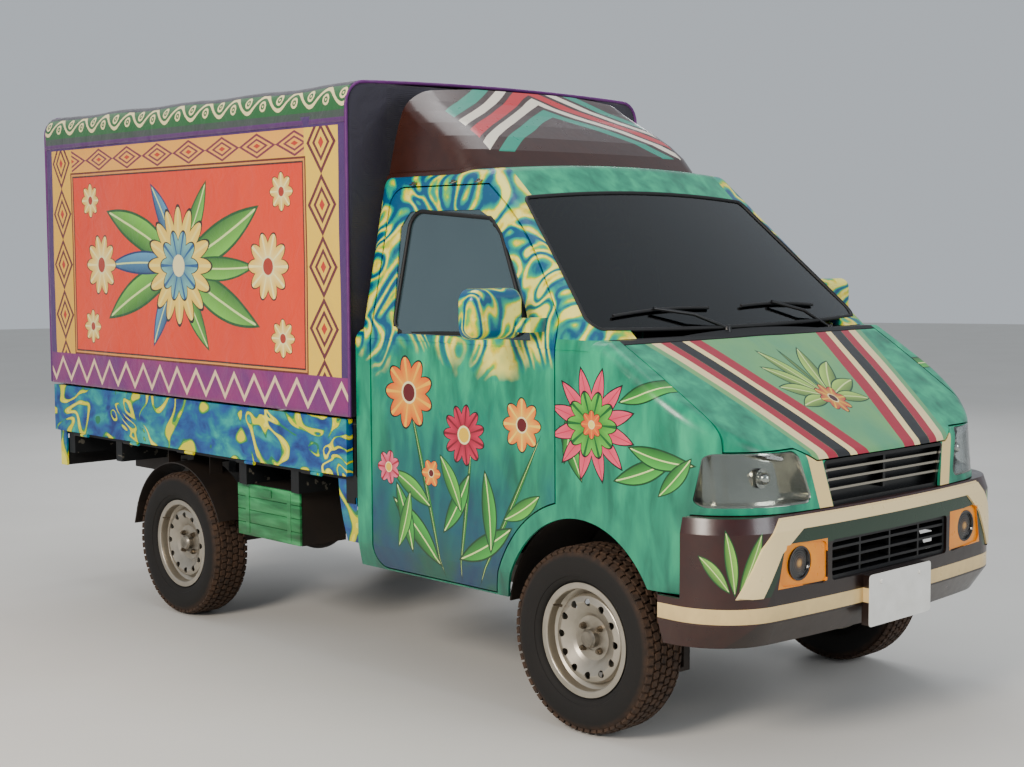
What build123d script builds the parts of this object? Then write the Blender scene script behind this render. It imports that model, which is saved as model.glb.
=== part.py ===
"""Small canvas-bodied food truck: a semi-forward-control pickup with a ladder frame.

Millimetres. X is to the truck's left, Y runs back from the front axle and Z is up
from the ground. write_piece() moves every piece so that the origin lies on the
ground under the middle of the truck's length.
"""

from build123d import *
import math
import os

os.makedirs("parts", exist_ok=True)

# Overall layout
wheelbase = 2350
track = 1310
front_overhang = 686
rear_overhang = 1012
middle_y = (wheelbase + rear_overhang - front_overhang) / 2
rear_end_y = wheelbase + rear_overhang

# Clearances between pieces
panel_gap = 5
seat_gap = 0.3
running_gap = 0.3
hinge_gap = 0.4

# Wheels and tyres: 165 mm tyres on 13 inch steel rims
tyre_radius = 298
tyre_width = 165
bead_radius = 165
rim_lip_radius = 182
rim_half_width = 62
rim_wall = 4
wheel_disc_seat = 18
vent_hole_radius = 12
vent_circle_radius = 117
vent_count = 12
spindle_radius = 16
drum_radius = 108

# Steering: the kingpin leans in at the top and meets the lower arm inside the wheel
kingpin_low_x = 607
kingpin_low_z = 176
kingpin_lean = 0.2
strut_top_z = 770
strut_radius = 20

# Ladder frame
rail_outer_x = 370
rail_width = 45
rail_height = 100
rail_wall = 6
rail_low_z = 395
rail_high_z = 500
rail_front_y = -520
rail_rear_y = 3300

# Cab
cab_rear_y = 1110
cab_half_width = 740
belt_z = 1210
roof_z = 1815
roof_crown = 50
cab_edge_radius = 60
cab_wall = 45
fender_wall = 10
bonnet_wall = 22
windshield_rake = 1.087
windshield_base_y = -151
windshield_bow = 65
tumblehome = 0.205
sill_z = 385
nose_y = -650
nose_corner_radius = 320
nose_bow = 68
bonnet_rear_z = 1240
bonnet_rear_y = -110
bonnet_slope = 0.675
bonnet_bulge = 14
bonnet_edge_radius = 45

# Front wheel arch, an ellipse about the wheel
arch_half_length = 345
arch_height = 385
arch_centre_z = 300
wheelhouse_inner_x = 393
wheelhouse_wall = 6
wheelhouse_outer_x = 708

# Doors
door_front_y = 102
door_rear_y = 1025
door_top_z = 1738
door_bottom_z = 395
arch_strip_width = 55
roof_split_z = 1748
pillar_split_y = cab_rear_y - cab_wall

# Front bumper
bumper_front_y = -662
bumper_half_width = 762
bumper_top_z = 745
bumper_low_z = 357
bumper_wall = 14
bumper_corner_radius = 220
bumper_end_y = -435
bumper_foot_y = -350
bumper_foot_z = 505

# Cargo body
bed_front_y = 1140
bed_rear_y = 3326
deck_z = 700
deck_thickness = 14
deck_half_width = 722
dropside_thickness = 28
dropside_outer_x = 755
dropside_low_z = 704
dropside_top_z = 912
hinge_z = 696
hinge_radius = 7
tailgate_outer_y = rear_end_y - 5
canvas_outer_x = 764
canvas_thickness = 8
canvas_front_y = 1122
canvas_rear_y = 3354
canvas_low_z = 922
canvas_top_z = 2140
canvas_corner_radius = 80
valance_low_z = 1976
bow_tube_radius = 13


def write_piece(piece, label):
    """Shift a finished piece to the truck's middle, name it and write it."""
    shifted = piece.part.moved(Location((0, -middle_y, 0)))
    shifted.label = label
    export_step(shifted, f"parts/{label}.step")


def write_pair(piece, label):
    """Write a piece of the truck's right side, and its mirror image on the left."""
    write_piece(piece, f"{label}_right")
    with BuildPart() as left:
        add(piece.part.mirror(Plane.YZ))
    write_piece(left, f"{label}_left")


def strut_x(height):
    """Distance of the kingpin line from the truck's centre plane at a height."""
    return kingpin_low_x - kingpin_lean * (height - kingpin_low_z)


# Tyres and wheels, made about the X axis with the outer side towards +X
bead_x = rim_half_width - 2 * rim_wall
sidewall_x = tyre_width / 2
sidewall_radius = (rim_lip_radius + tyre_radius) / 2
tread_edge_x = sidewall_x - 18
shoulder_radius = 14

with BuildPart() as tyre:
    with BuildSketch(Plane.XY) as tyre_section:
        with BuildLine():
            Line((0, tyre_radius), (tread_edge_x, tyre_radius))
            TangentArc((sidewall_x, sidewall_radius), (tread_edge_x, tyre_radius), tangent=(0, 1))
            TangentArc((sidewall_x, sidewall_radius), (bead_x, rim_lip_radius + 4), tangent=(0, -1))
            Polyline((bead_x, rim_lip_radius + 4), (bead_x, bead_radius + seat_gap), (0, bead_radius + seat_gap))
            Line((0, bead_radius + seat_gap), (0, tyre_radius))
        make_face()
        mirror(about=Plane.YZ)
        fillet([corner for corner in tyre_section.vertices()
                if corner.Y > tyre_radius - 1 and abs(corner.X) > tread_edge_x - 1], shoulder_radius)
        # Three grooves round the tread
        for groove_x in (-32, 0, 32):
            with Locations((groove_x, tyre_radius)):
                Rectangle(7, 14, mode=Mode.SUBTRACT)
    revolve(axis=Axis.X)

with BuildPart() as rim:
    # Rolled barrel: lip, bead seat, drop centre, bead seat, lip
    seat_radius = bead_radius - rim_wall / 2
    well_radius = seat_radius - 20
    lip_x = rim_half_width - rim_wall / 2
    with BuildSketch(Plane.XY):
        with BuildLine() as barrel_line:
            FilletPolyline(
                (-lip_x, rim_lip_radius), (-lip_x, seat_radius), (-30, seat_radius), (-18, well_radius),
                (14, well_radius), (26, seat_radius), (lip_x, seat_radius), (lip_x, rim_lip_radius),
                radius=3)
        trace(barrel_line.line, line_width=rim_wall)
    revolve(axis=Axis.X)
    # Pressed disc: outer crown with the vent holes, dished in to the bolting face
    with BuildSketch(Plane.XY):
        with BuildLine() as disc_line:
            FilletPolyline(
                (8, well_radius), (36, well_radius - 6), (42, vent_circle_radius),
                (wheel_disc_seat + 8, 84), (wheel_disc_seat, 72), (wheel_disc_seat, 40),
                radius=5)
        trace(disc_line.line, line_width=rim_wall)
    revolve(axis=Axis.X)
    # Hub and brake drum behind the bolting face, and the hub's cap in front of it
    with BuildSketch(Plane.XY):
        with BuildLine():
            Polyline((wheel_disc_seat + 28, 0), (wheel_disc_seat + 28, 24), (wheel_disc_seat + 20, 30),
                     (wheel_disc_seat, 30), (wheel_disc_seat, 64), (4, 64), (-2, drum_radius),
                     (-28, drum_radius), (-28, drum_radius - 10), (-8, drum_radius - 14), (-6, 40),
                     (-22, 36), (-22, spindle_radius), (wheel_disc_seat + 6, spindle_radius),
                     (wheel_disc_seat + 6, 0), close=True)
        make_face()
    revolve(axis=Axis.X)
    with BuildSketch(Plane.YZ.offset(30)):
        with PolarLocations(vent_circle_radius, vent_count):
            Circle(vent_hole_radius)
    extrude(amount=30, mode=Mode.SUBTRACT)

# Wheel stations: name, side (+1 is the truck's left), distance behind the front axle
wheel_stations = [
    ("front_right", -1, 0),
    ("front_left", 1, 0),
    ("rear_right", -1, wheelbase),
    ("rear_left", 1, wheelbase),
]

for station, side, station_y in wheel_stations:
    turn = 90 - 90 * side
    place = Location((side * track / 2, station_y, tyre_radius), (0, 0, turn))
    for shape, kind in ((tyre, "tyre"), (rim, "rim")):
        with BuildPart() as wheel_piece:
            add(shape.part.moved(place))
        write_piece(wheel_piece, f"{kind}_{station}")

# Front knuckles: upright, spindle, steering arm and the strut that leans in above it
strut_axis = Vector(-kingpin_lean, 0, 1).normalized()
upright_face_x = track / 2 - 43
ball_joint_centre = Vector(kingpin_low_x, 0, kingpin_low_z)
ball_joint_radius = 14
ball_joint_half_height = 5

with BuildPart() as knuckle:
    with BuildSketch(Plane.XZ.offset(-32)):
        with BuildLine():
            Polyline((upright_face_x - 25, kingpin_low_z), (upright_face_x + 12, kingpin_low_z),
                     (upright_face_x + 12, 200), (upright_face_x, 235), (upright_face_x, 350),
                     (strut_x(430) + 22, 430), (strut_x(430) - 20, 430), (strut_x(330) - 22, 330),
                     (strut_x(230) - 14, 230), close=True)
        make_face()
    extrude(amount=64)
    # Spindle that the hub turns on
    with BuildSketch(Plane.YZ.offset(upright_face_x - 5)):
        with Locations((0, tyre_radius)):
            Circle(spindle_radius - running_gap)
    extrude(amount=track / 2 + wheel_disc_seat - upright_face_x + 5)
    # Strut tube and the spring's boot round it
    strut_foot = Vector(strut_x(380), 0, 380)
    with BuildSketch(Plane(origin=strut_foot, z_dir=strut_axis)):
        Circle(strut_radius)
    extrude(amount=(strut_top_z - 6 - 380) / strut_axis.Z)
    boot_foot = Vector(strut_x(635), 0, 635)
    with BuildSketch(Plane(origin=boot_foot, z_dir=strut_axis)):
        Circle(44)
    extrude(amount=110)
    # Ball joint housing on the kingpin line
    with BuildSketch(Plane(origin=ball_joint_centre, z_dir=strut_axis)):
        Circle(ball_joint_radius)
    extrude(amount=ball_joint_half_height, both=True)
    # Steering arm
    with BuildSketch(Plane.XY.offset(222)):
        with Locations((upright_face_x - 26, 60)):
            Rectangle(24, 90)
    extrude(amount=20)

knuckle.part = knuckle.part.mirror(Plane.YZ)
write_pair(knuckle, "knuckle")

# Front suspension: crossmember under the rails and the two lower arms
arm_pivot_x = 345
arm_thickness = 14
arm_high_z = kingpin_low_z - 12
arm_end_radius = 17
with BuildPart() as front_suspension:
    with Locations((0, 0, rail_low_z - 45)):
        Box(2 * rail_outer_x - 20, 110, 90)
    for side in (-1, 1):
        with Locations((side * (arm_pivot_x - 10), 0, 260)):
            Box(30, 200, 110)
        with BuildSketch(Plane.XY.offset(arm_high_z - arm_thickness)):
            with BuildLine():
                Polyline((side * (arm_pivot_x - 25), -100), (side * (arm_pivot_x + 20), -100),
                         (side * kingpin_low_x, -arm_end_radius), (side * kingpin_low_x, arm_end_radius),
                         (side * (arm_pivot_x + 20), 100), (side * (arm_pivot_x - 25), 100), close=True)
            make_face()
            with Locations((side * kingpin_low_x, 0)):
                Circle(arm_end_radius)
        extrude(amount=arm_thickness)
        # Ball joint stud from the arm up to the knuckle, on the kingpin line
        stud_axis = Vector(side * strut_axis.X, 0, strut_axis.Z)
        stud_top = Vector(side * kingpin_low_x, 0, kingpin_low_z) - stud_axis * (ball_joint_half_height + running_gap)
        with BuildSketch(Plane(origin=stud_top, z_dir=stud_axis)):
            Circle(ball_joint_radius)
        extrude(amount=-12)
        with Locations((side * (arm_pivot_x - 10), 0, 190)):
            Box(30, 200, 80)
write_piece(front_suspension, "front_suspension")

# Rear axle: tube with differential, backing plates, stubs and spring seats
axle_tube_radius = 30
spring_x = 440
spring_width = 50
backing_x = track / 2 - 60
with BuildPart() as rear_axle:
    # Right half of the casing in section, from the differential out to the stub
    with BuildSketch(Plane.XY):
        with BuildLine():
            Polyline((0, 0), (backing_x + 60 + wheel_disc_seat, 0),
                     (backing_x + 60 + wheel_disc_seat, spindle_radius - running_gap),
                     (backing_x + 8, spindle_radius - running_gap), (backing_x + 8, drum_radius - 4),
                     (backing_x, drum_radius - 4), (backing_x, axle_tube_radius + 10),
                     (backing_x - 12, axle_tube_radius), (150, axle_tube_radius), (70, 96))
            ThreePointArc((70, 96), (36, 110), (0, 115))
            Line((0, 115), (0, 0))
        make_face()
        mirror(about=Plane.YZ)
    revolve(axis=Axis.X)
    for side in (-1, 1):
        with Locations((side * spring_x, 0, axle_tube_radius)):
            Box(spring_width, 120, 16)
rear_axle.part = rear_axle.part.moved(Location((0, wheelbase, tyre_radius)))
write_piece(rear_axle, "rear_axle")

# Leaf springs: three arched leaves each side, eyes and hangers up to the rails
spring_seat_z = tyre_radius + axle_tube_radius + 8
leaf_thickness = 8
# Leaves: half length, rise of the ends
leaf_table = [(500, 74), (380, 43), (240, 17)]
with BuildPart() as leaf_springs:
    for side in (-1, 1):
        with BuildSketch(Plane.YZ.offset(side * spring_x - spring_width / 2)):
            for index, (half_length, rise) in enumerate(leaf_table):
                low = spring_seat_z + (len(leaf_table) - 1 - index) * leaf_thickness
                high = low + leaf_thickness
                with BuildLine():
                    ThreePointArc((wheelbase - half_length, low + rise), (wheelbase, low),
                                  (wheelbase + half_length, low + rise))
                    Line((wheelbase + half_length, low + rise), (wheelbase + half_length, high + rise))
                    ThreePointArc((wheelbase + half_length, high + rise), (wheelbase, high),
                                  (wheelbase - half_length, high + rise))
                    Line((wheelbase - half_length, high + rise), (wheelbase - half_length, low + rise))
                make_face()
        extrude(amount=spring_width)
        eye_z = spring_seat_z + 2 * leaf_thickness + leaf_table[0][1] + 4
        for end in (-1, 1):
            eye_y = wheelbase + end * leaf_table[0][0]
            with BuildSketch(Plane.YZ.offset(side * spring_x - spring_width / 2)):
                with Locations((eye_y, eye_z)):
                    Circle(18)
            extrude(amount=spring_width)
            # Hanger from the rail's side down to the eye
            with BuildSketch(Plane.YZ.offset(side * rail_outer_x)):
                with BuildLine():
                    Polyline((eye_y - 20, eye_z - 18), (eye_y + 20, eye_z - 18),
                             (eye_y + 35, rail_high_z + 70), (eye_y - 35, rail_high_z + 70), close=True)
                make_face()
            extrude(amount=side * 10)
            with BuildSketch(Plane.YZ.offset(side * rail_outer_x)):
                with Locations((eye_y, eye_z)):
                    Circle(12)
            extrude(amount=side * (spring_x - rail_outer_x))
write_piece(leaf_springs, "leaf_springs")

# Frame rails: C sections, open inwards, stepping up behind the cab
kick_front_y = 1090
kick_rear_y = 1250
rail_points = [
    (rail_front_y, rail_low_z), (kick_front_y + 40, rail_low_z), (kick_rear_y + 40, rail_high_z),
    (rail_rear_y, rail_high_z), (rail_rear_y, rail_high_z + rail_height),
    (kick_rear_y, rail_high_z + rail_height), (kick_front_y, rail_low_z + rail_height),
    (rail_front_y, rail_low_z + rail_height),
]
with BuildPart() as frame_rail:
    with BuildSketch(Plane.YZ.offset(-rail_outer_x)):
        with BuildLine():
            Polyline(*rail_points, close=True)
        make_face()
    extrude(amount=rail_width)
    with BuildSketch(Plane.YZ.offset(-rail_outer_x + rail_wall)):
        with BuildLine():
            Polyline(*rail_points, close=True)
        make_face()
        offset(amount=-rail_wall)
    extrude(amount=rail_width, mode=Mode.SUBTRACT)

# Crossmembers between the rails: distance behind the front axle, level of the rail there
crossmember_table = [(-490, rail_low_z), (330, rail_low_z), (980, rail_low_z),
                     (1330, rail_high_z), (1960, rail_high_z), (2740, rail_high_z), (3270, rail_high_z)]
with BuildPart() as ladder_frame:
    add(frame_rail.part)
    add(frame_rail.part.mirror(Plane.YZ))
    for beam_y, beam_z in crossmember_table:
        with BuildSketch(Plane.YZ.offset(-rail_outer_x + rail_width)):
            with Locations((beam_y, beam_z + rail_height / 2)):
                Rectangle(60, rail_height)
                Rectangle(48, rail_height - 12, mode=Mode.SUBTRACT)
        extrude(amount=2 * (rail_outer_x - rail_width))

# Cab form. Levels of the lower body: height, half width, centre of the front
lower_levels = [
    (sill_z, cab_half_width - 18, nose_y),
    (470, cab_half_width, nose_y - 5),
    (bumper_top_z, cab_half_width, nose_y),
    (1260, cab_half_width, nose_y + 52),
]
upper_top_z = 1830


def cab_level(height, half_width, front, bow, inset, corner=0):
    """Level outline of the cab: straight sides and rear, and a bowed front with round corners."""
    side = half_width - inset
    nose = front + inset
    back = cab_rear_y - inset
    with BuildSketch(Plane.XY.offset(height)) as level:
        with BuildLine():
            Polyline((-side, nose + bow), (-side, back), (side, back), (side, nose + bow))
            ThreePointArc((side, nose + bow), (0, nose), (-side, nose + bow))
        make_face()
        if corner:
            fillet(level.vertices().group_by(Axis.Y)[0], corner - inset)
    return level.sketch


def bonnet_line(inset):
    """Region above the bonnet and the belt, as a face in the YZ plane."""
    drop = 1.2 * inset
    front = nose_y - 150
    front_z = bonnet_rear_z - bonnet_slope * (bonnet_rear_y - front) - drop
    middle_z = (bonnet_rear_z - inset + front_z) / 2 + bonnet_bulge
    with BuildSketch(Plane.YZ.offset(-cab_half_width - 100)) as region:
        with BuildLine():
            Polyline((bonnet_rear_y, bonnet_rear_z - inset), (cab_rear_y + 100, bonnet_rear_z - inset),
                     (cab_rear_y + 100, upper_top_z), (front, upper_top_z), (front, front_z))
            ThreePointArc((front, front_z), ((bonnet_rear_y + front) / 2, middle_z),
                          (bonnet_rear_y, bonnet_rear_z - inset))
        make_face()
    return region.sketch


def cab_form(inset):
    """The cab's closed outer form, drawn in on every side by inset."""
    with BuildPart() as lower:
        loft([cab_level(height, half_width, front, nose_bow, inset, nose_corner_radius)
              for height, half_width, front in lower_levels], ruled=True)
        extrude(bonnet_line(inset), amount=2 * cab_half_width + 200, mode=Mode.SUBTRACT)
        shoulders = [edge for edge in lower.edges()
                     if edge.center().Z > 850 and edge.center().Y < cab_rear_y - 100
                     and abs(edge.center().X) > 300 and edge.length > 30]
        fillet(shoulders, max(bonnet_edge_radius - inset, 10))
    with BuildPart() as upper:
        top_half_width = cab_half_width - tumblehome * (upper_top_z - belt_z)
        top_front = windshield_base_y + windshield_rake * (upper_top_z - belt_z)
        loft([cab_level(belt_z, cab_half_width, windshield_base_y, windshield_bow, inset),
              cab_level(upper_top_z, top_half_width, top_front, windshield_bow - 20, inset)], ruled=True)
        with BuildSketch(Plane.XZ.offset(-cab_rear_y - 100)):
            with BuildLine():
                reach = cab_half_width + 160
                eave_z = roof_z - roof_crown - inset
                Polyline((-reach, eave_z), (-reach, belt_z - 100), (reach, belt_z - 100), (reach, eave_z))
                ThreePointArc((reach, eave_z), (0, roof_z - inset), (-reach, eave_z))
            make_face()
        extrude(amount=2 * cab_rear_y, mode=Mode.INTERSECT)
        fillet(upper.edges().filter_by(lambda edge: edge.center().Z > belt_z + 5),
               max(cab_edge_radius - inset, 12))
    with BuildPart() as whole:
        add(lower.part)
        add(upper.part)
    return whole.part


outer_form = cab_form(0)
thin_form = cab_form(fender_wall)
bonnet_form = cab_form(bonnet_wall)
with BuildPart() as cabin_space:
    add(cab_form(cab_wall))
    # The inner form has no floor across it at the belt
    with Locations((0, (60 + cab_rear_y - cab_wall) / 2, belt_z)):
        Box(2 * (cab_half_width - cab_wall - 10), cab_rear_y - cab_wall - 60, 100)
wall_form = cabin_space.part


def shell_between(outside, inside):
    """Wall of the cab between two of its forms."""
    with BuildPart() as shell:
        add(outside)
        add(inside, mode=Mode.SUBTRACT)
    return shell.part


thin_shell = shell_between(outer_form, thin_form)
bonnet_shell = shell_between(outer_form, bonnet_form)
wall_shell = shell_between(outer_form, wall_form)


# Cutters, each a prism through the cab. grow widens the outline for a shut line
def arch_cutter(grow=0):
    """Both front wheel arches."""
    with BuildPart() as cutter:
        for side in (-1, 1):
            with BuildSketch(Plane.YZ.offset(side * wheelhouse_inner_x)):
                with Locations((0, arch_centre_z)):
                    Ellipse(arch_half_length + grow, arch_height + grow)
            extrude(amount=side * 500)
    return cutter.part


def door_outline(grow=0):
    """The door's shut line in the YZ plane, with the strip round the arch left out."""
    pillar_top_y = 520
    with BuildSketch(Plane.YZ) as outline:
        with BuildLine():
            Polyline((door_front_y, 1300), (door_front_y, door_bottom_z), (door_rear_y, door_bottom_z),
                     (door_rear_y, door_top_z), (pillar_top_y, door_top_z))
            ThreePointArc((pillar_top_y, door_top_z), (262, 1512), (door_front_y, 1300))
        make_face()
        fillet(outline.vertices().group_by(Axis.X)[-1], 70)
        if grow:
            offset(amount=grow)
        strip = arch_strip_width - grow
        with Locations((0, arch_centre_z)):
            Ellipse(arch_half_length + strip, arch_height + strip, mode=Mode.SUBTRACT)
    return outline.sketch


def door_cutter(grow=0):
    """Prism through both door openings."""
    with BuildPart() as cutter:
        extrude(door_outline(grow), amount=1000, both=True)
    return cutter.part


def window_cutter(grow=0):
    """Prism through both door windows."""
    with BuildPart() as cutter:
        with BuildSketch(Plane.YZ.offset(-1000)) as outline:
            with BuildLine():
                Polyline((212, 1232), (875, 1232), (912, 1275), (948, 1600), (905, 1655), (545, 1655), (487, 1628))
                ThreePointArc((487, 1628), (345, 1478), (212, 1232))
            make_face()
            fillet(outline.vertices().group_by(Axis.Y)[-1].sort_by(Axis.X)[-1], 30)
            if grow:
                offset(amount=grow)
        extrude(amount=2000)
    return cutter.part


def windshield_cutter(grow=0):
    """Prism through the windshield opening, from the front."""
    with BuildPart() as cutter:
        with BuildSketch(Plane.XZ.offset(400)) as outline:
            with BuildLine():
                ThreePointArc((-698, 1272), (0, 1262), (698, 1272))
                Line((698, 1272), (566, 1692))
                ThreePointArc((566, 1692), (0, 1716), (-566, 1692))
                Line((-566, 1692), (-698, 1272))
            make_face()
            fillet(outline.vertices(), 32)
            if grow:
                offset(amount=grow)
        extrude(amount=-1100)
    return cutter.part


def rear_window_cutter(grow=0):
    """Prism through the window in the cab's rear wall."""
    with BuildPart() as cutter:
        with BuildSketch(Plane.XZ.offset(-cab_rear_y - 50)):
            with Locations((0, 1480)):
                RectangleRounded(860 + 2 * grow, 330 + 2 * grow, 45)
        extrude(amount=200)
    return cutter.part


def headlamp_cutter(grow=0):
    """Prisms through both headlamp openings, from the front."""
    with BuildPart() as cutter:
        with BuildSketch(Plane.XZ.offset(800)) as outline:
            with BuildLine():
                Polyline((380, 768), (712, 768), (690, 927), (432, 925), close=True)
            make_face()
            fillet(outline.vertices(), 24)
            if grow:
                offset(amount=grow)
            mirror(about=Plane.YZ)
        extrude(amount=-430)
    return cutter.part


def grille_cutter(grow=0):
    """Prism through the grille opening between the headlamps."""
    with BuildPart() as cutter:
        with BuildSketch(Plane.XZ.offset(800)) as outline:
            with BuildLine():
                Polyline((-292, bumper_top_z), (292, bumper_top_z), (326, 887), (-326, 887), close=True)
            make_face()
            fillet(outline.vertices().group_by(Axis.Y)[-1], 12)
            if grow:
                offset(amount=grow)
        extrude(amount=-300)
    return cutter.part


bonnet_back_y = -130
bonnet_half_width = 662
bonnet_front_half_width = 650


def bonnet_cutter(grow=0):
    """Region of the bonnet: its plan outline, above its front edge."""
    with BuildPart() as cutter:
        with BuildSketch(Plane.XY.offset(800)) as plan:
            with BuildLine():
                Polyline((-bonnet_half_width, bonnet_back_y), (bonnet_half_width, bonnet_back_y),
                         (bonnet_front_half_width, -430), (bonnet_front_half_width, -800),
                         (-bonnet_front_half_width, -800), (-bonnet_front_half_width, -430), close=True)
            make_face()
            if grow:
                offset(amount=grow, kind=Kind.INTERSECTION)
        extrude(amount=500)
        with BuildSketch(Plane.XZ.offset(850)) as front:
            with BuildLine():
                Polyline((-900, 932), (-425, 932), (-350, 892), (350, 892), (425, 932), (900, 932),
                         (900, 1300), (-900, 1300), close=True)
            make_face()
            if grow:
                offset(amount=grow, kind=Kind.INTERSECTION)
        extrude(amount=-900, mode=Mode.INTERSECT)
    return cutter.part


def right_prism(points, inner_x):
    """Prism on the truck's right, out from inner_x, from an outline of (y, z) points."""
    with BuildPart() as prism:
        with BuildSketch(Plane.YZ.offset(-cab_half_width - 100)):
            with BuildLine():
                Polyline(*points, close=True)
            make_face()
        extrude(amount=cab_half_width + 100 - inner_x)
    return prism.part


def region_box(x_low, x_high, y_low, y_high, z_low, z_high):
    """A box between two corners."""
    return Box(x_high - x_low, y_high - y_low, z_high - z_low,
               align=(Align.MIN, Align.MIN, Align.MIN)).moved(Location((x_low, y_low, z_low)))


def cut_panel(shell, regions, cuts):
    """Part of a shell inside the regions, less the cuts."""
    with BuildPart() as panel:
        for region in regions:
            add(region)
        add(shell, mode=Mode.INTERSECT)
        for cut in cuts:
            add(cut, mode=Mode.SUBTRACT)
    return panel


header_half_width = 556
header_low_z = 1690
roof_region = region_box(-900, 900, -300, 1300, roof_split_z, 1900)
header_region = region_box(-header_half_width, header_half_width, -300, pillar_split_y - 300,
                           header_low_z, roof_split_z)

# Roof with the windshield header
cab_roof = cut_panel(wall_shell, [roof_region, header_region], [windshield_cutter()])
write_piece(cab_roof, "cab_roof")

# Rear wall of the cab with its window
rear_wall_region = region_box(-900, 900, pillar_split_y, 1300, 300, roof_split_z)
frame_space = region_box(-rail_outer_x - 15, rail_outer_x + 15, pillar_split_y - 10, 1300, 300, 520)
cab_rear_wall = cut_panel(wall_shell, [rear_wall_region], [rear_window_cutter(), frame_space])
write_piece(cab_rear_wall, "cab_rear_wall")

# Sides of the cab: windshield pillar, door opening, sill and rear pillar
strip_low_y = arch_half_length + arch_strip_width - 8
strip_top_z = 725
fender_rear_y = door_front_y - panel_gap
belt_split_z = bonnet_rear_z + 2
side_outline = [
    (-100, belt_split_z), (-100, roof_split_z), (pillar_split_y, roof_split_z), (pillar_split_y, 300),
    (strip_low_y, 300), (strip_low_y, strip_top_z), (fender_rear_y, strip_top_z), (fender_rear_y, belt_split_z),
]
cab_side = cut_panel(
    wall_shell, [right_prism(side_outline, header_half_width)],
    [door_cutter(panel_gap), windshield_cutter(), arch_cutter()])
write_pair(cab_side, "cab_side")

# Front fenders, from the door round the wheel arch to the headlamp
nose_half_width = 440
fender_outline = [
    (-900, bumper_top_z + 3), (bumper_end_y + 3, bumper_top_z + 3), (bumper_end_y + 3, bumper_foot_z + 3),
    (-200, bumper_foot_z + 3), (-200, 400), (0, 300), (strip_low_y, 300), (strip_low_y, strip_top_z),
    (fender_rear_y, strip_top_z), (fender_rear_y, belt_split_z), (-900, belt_split_z),
]
cowl_half_width = bonnet_half_width + panel_gap
cowl_space = region_box(-cowl_half_width, cowl_half_width, bonnet_back_y, 100, 1150, 1300)
front_fender = cut_panel(
    thin_shell, [right_prism(fender_outline, nose_half_width)],
    [headlamp_cutter(), bonnet_cutter(panel_gap), cowl_space, arch_cutter(), door_cutter(panel_gap)])
write_pair(front_fender, "front_fender")

# Cowl between the bonnet and the windshield
cowl = cut_panel(
    thin_shell,
    [region_box(-cowl_half_width, cowl_half_width, bonnet_back_y + panel_gap, -60, 1150, 1300)],
    [windshield_cutter(), region_box(-900, 900, -100, 100, belt_split_z, 1300)])
write_piece(cowl, "cowl")

# Nose panel between the headlamps, round the grille opening
nose_panel = cut_panel(
    thin_shell,
    [region_box(-nose_half_width, nose_half_width, -900, -500, bumper_top_z + 3, 940)],
    [headlamp_cutter(), grille_cutter(), bonnet_cutter(panel_gap)])
write_piece(nose_panel, "nose_panel")

# Bonnet
bonnet = cut_panel(bonnet_shell, [bonnet_cutter()], [])
write_piece(bonnet, "bonnet")

# Doors with their window openings
door_inner_x = 566
door_trim = 3
door_space = region_box(-900, -door_inner_x, 0, door_rear_y - door_trim, 300, 1800)
door = cut_panel(wall_shell, [door_space], [window_cutter()])
door.part = door.part & door_cutter()
write_pair(door, "door")

# Glass: windshield, rear window and door windows, each set in its opening
glass_depth = 4
glass_thickness = 5
glass_shell = shell_between(cab_form(glass_depth), cab_form(glass_depth + glass_thickness))
windshield = cut_panel(glass_shell, [windshield_cutter(-seat_gap)], [])
write_piece(windshield, "windshield")
rear_window = cut_panel(
    glass_shell, [rear_window_cutter(-seat_gap)], [])
write_piece(rear_window, "cab_rear_window")
door_glass = cut_panel(
    glass_shell, [region_box(-900, -door_inner_x, 0, 1200, 1100, 1800)], [])
door_glass.part = door_glass.part & window_cutter(-seat_gap)
write_pair(door_glass, "door_glass")

# Headlamps: a clear lens over a deep bowl with its reflector
lens_shell = shell_between(cab_form(1), cab_form(5))
headlamp_lenses = cut_panel(lens_shell, [headlamp_cutter(-seat_gap)], [])
write_piece(headlamp_lenses, "headlamp_lenses")
bowl_shell = shell_between(cab_form(5.3), cab_form(70))
cavity_shell = shell_between(cab_form(4), cab_form(62))
bowl = cut_panel(bowl_shell, [headlamp_cutter(-seat_gap)], [])
cavity = cut_panel(cavity_shell, [headlamp_cutter(-6)], [])
with BuildPart() as headlamp_bowls:
    add(bowl.part)
    add(cavity.part, mode=Mode.SUBTRACT)
write_piece(headlamp_bowls, "headlamp_bowls")

# Upper grille: frame in the opening, backing plate and three bars
grille_bar_levels = (795, 825, 855)
with BuildPart() as upper_grille:
    with BuildSketch(Plane.XZ.offset(625)) as grille_face:
        with BuildLine():
            Polyline((-292, bumper_top_z), (292, bumper_top_z), (326, 887), (-326, 887), close=True)
        make_face()
        fillet(grille_face.vertices().group_by(Axis.Y)[-1], 12)
        offset(amount=-seat_gap)
    extrude(amount=-45)
    with BuildSketch(Plane.XZ.offset(625)):
        with BuildLine():
            Polyline((-281, bumper_top_z + 14), (281, bumper_top_z + 14), (313, 876), (-313, 876), close=True)
        make_face()
    extrude(amount=-35, mode=Mode.SUBTRACT)
    for bar_z in grille_bar_levels:
        with Locations((0, -603, bar_z)):
            Box(600, 34, 9)
    with Locations((0, -603, 825)):
        Box(12, 34, 100)
write_piece(upper_grille, "upper_grille")

# Front bumper: a bowed shell with round ends, open behind
bumper_levels = [
    (bumper_low_z, bumper_half_width - 26, bumper_front_y + 44),
    (432, bumper_half_width, bumper_front_y),
    (700, bumper_half_width, bumper_front_y),
    (bumper_top_z, bumper_half_width - 10, bumper_front_y + 12),
]
bumper_bow = 56


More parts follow.
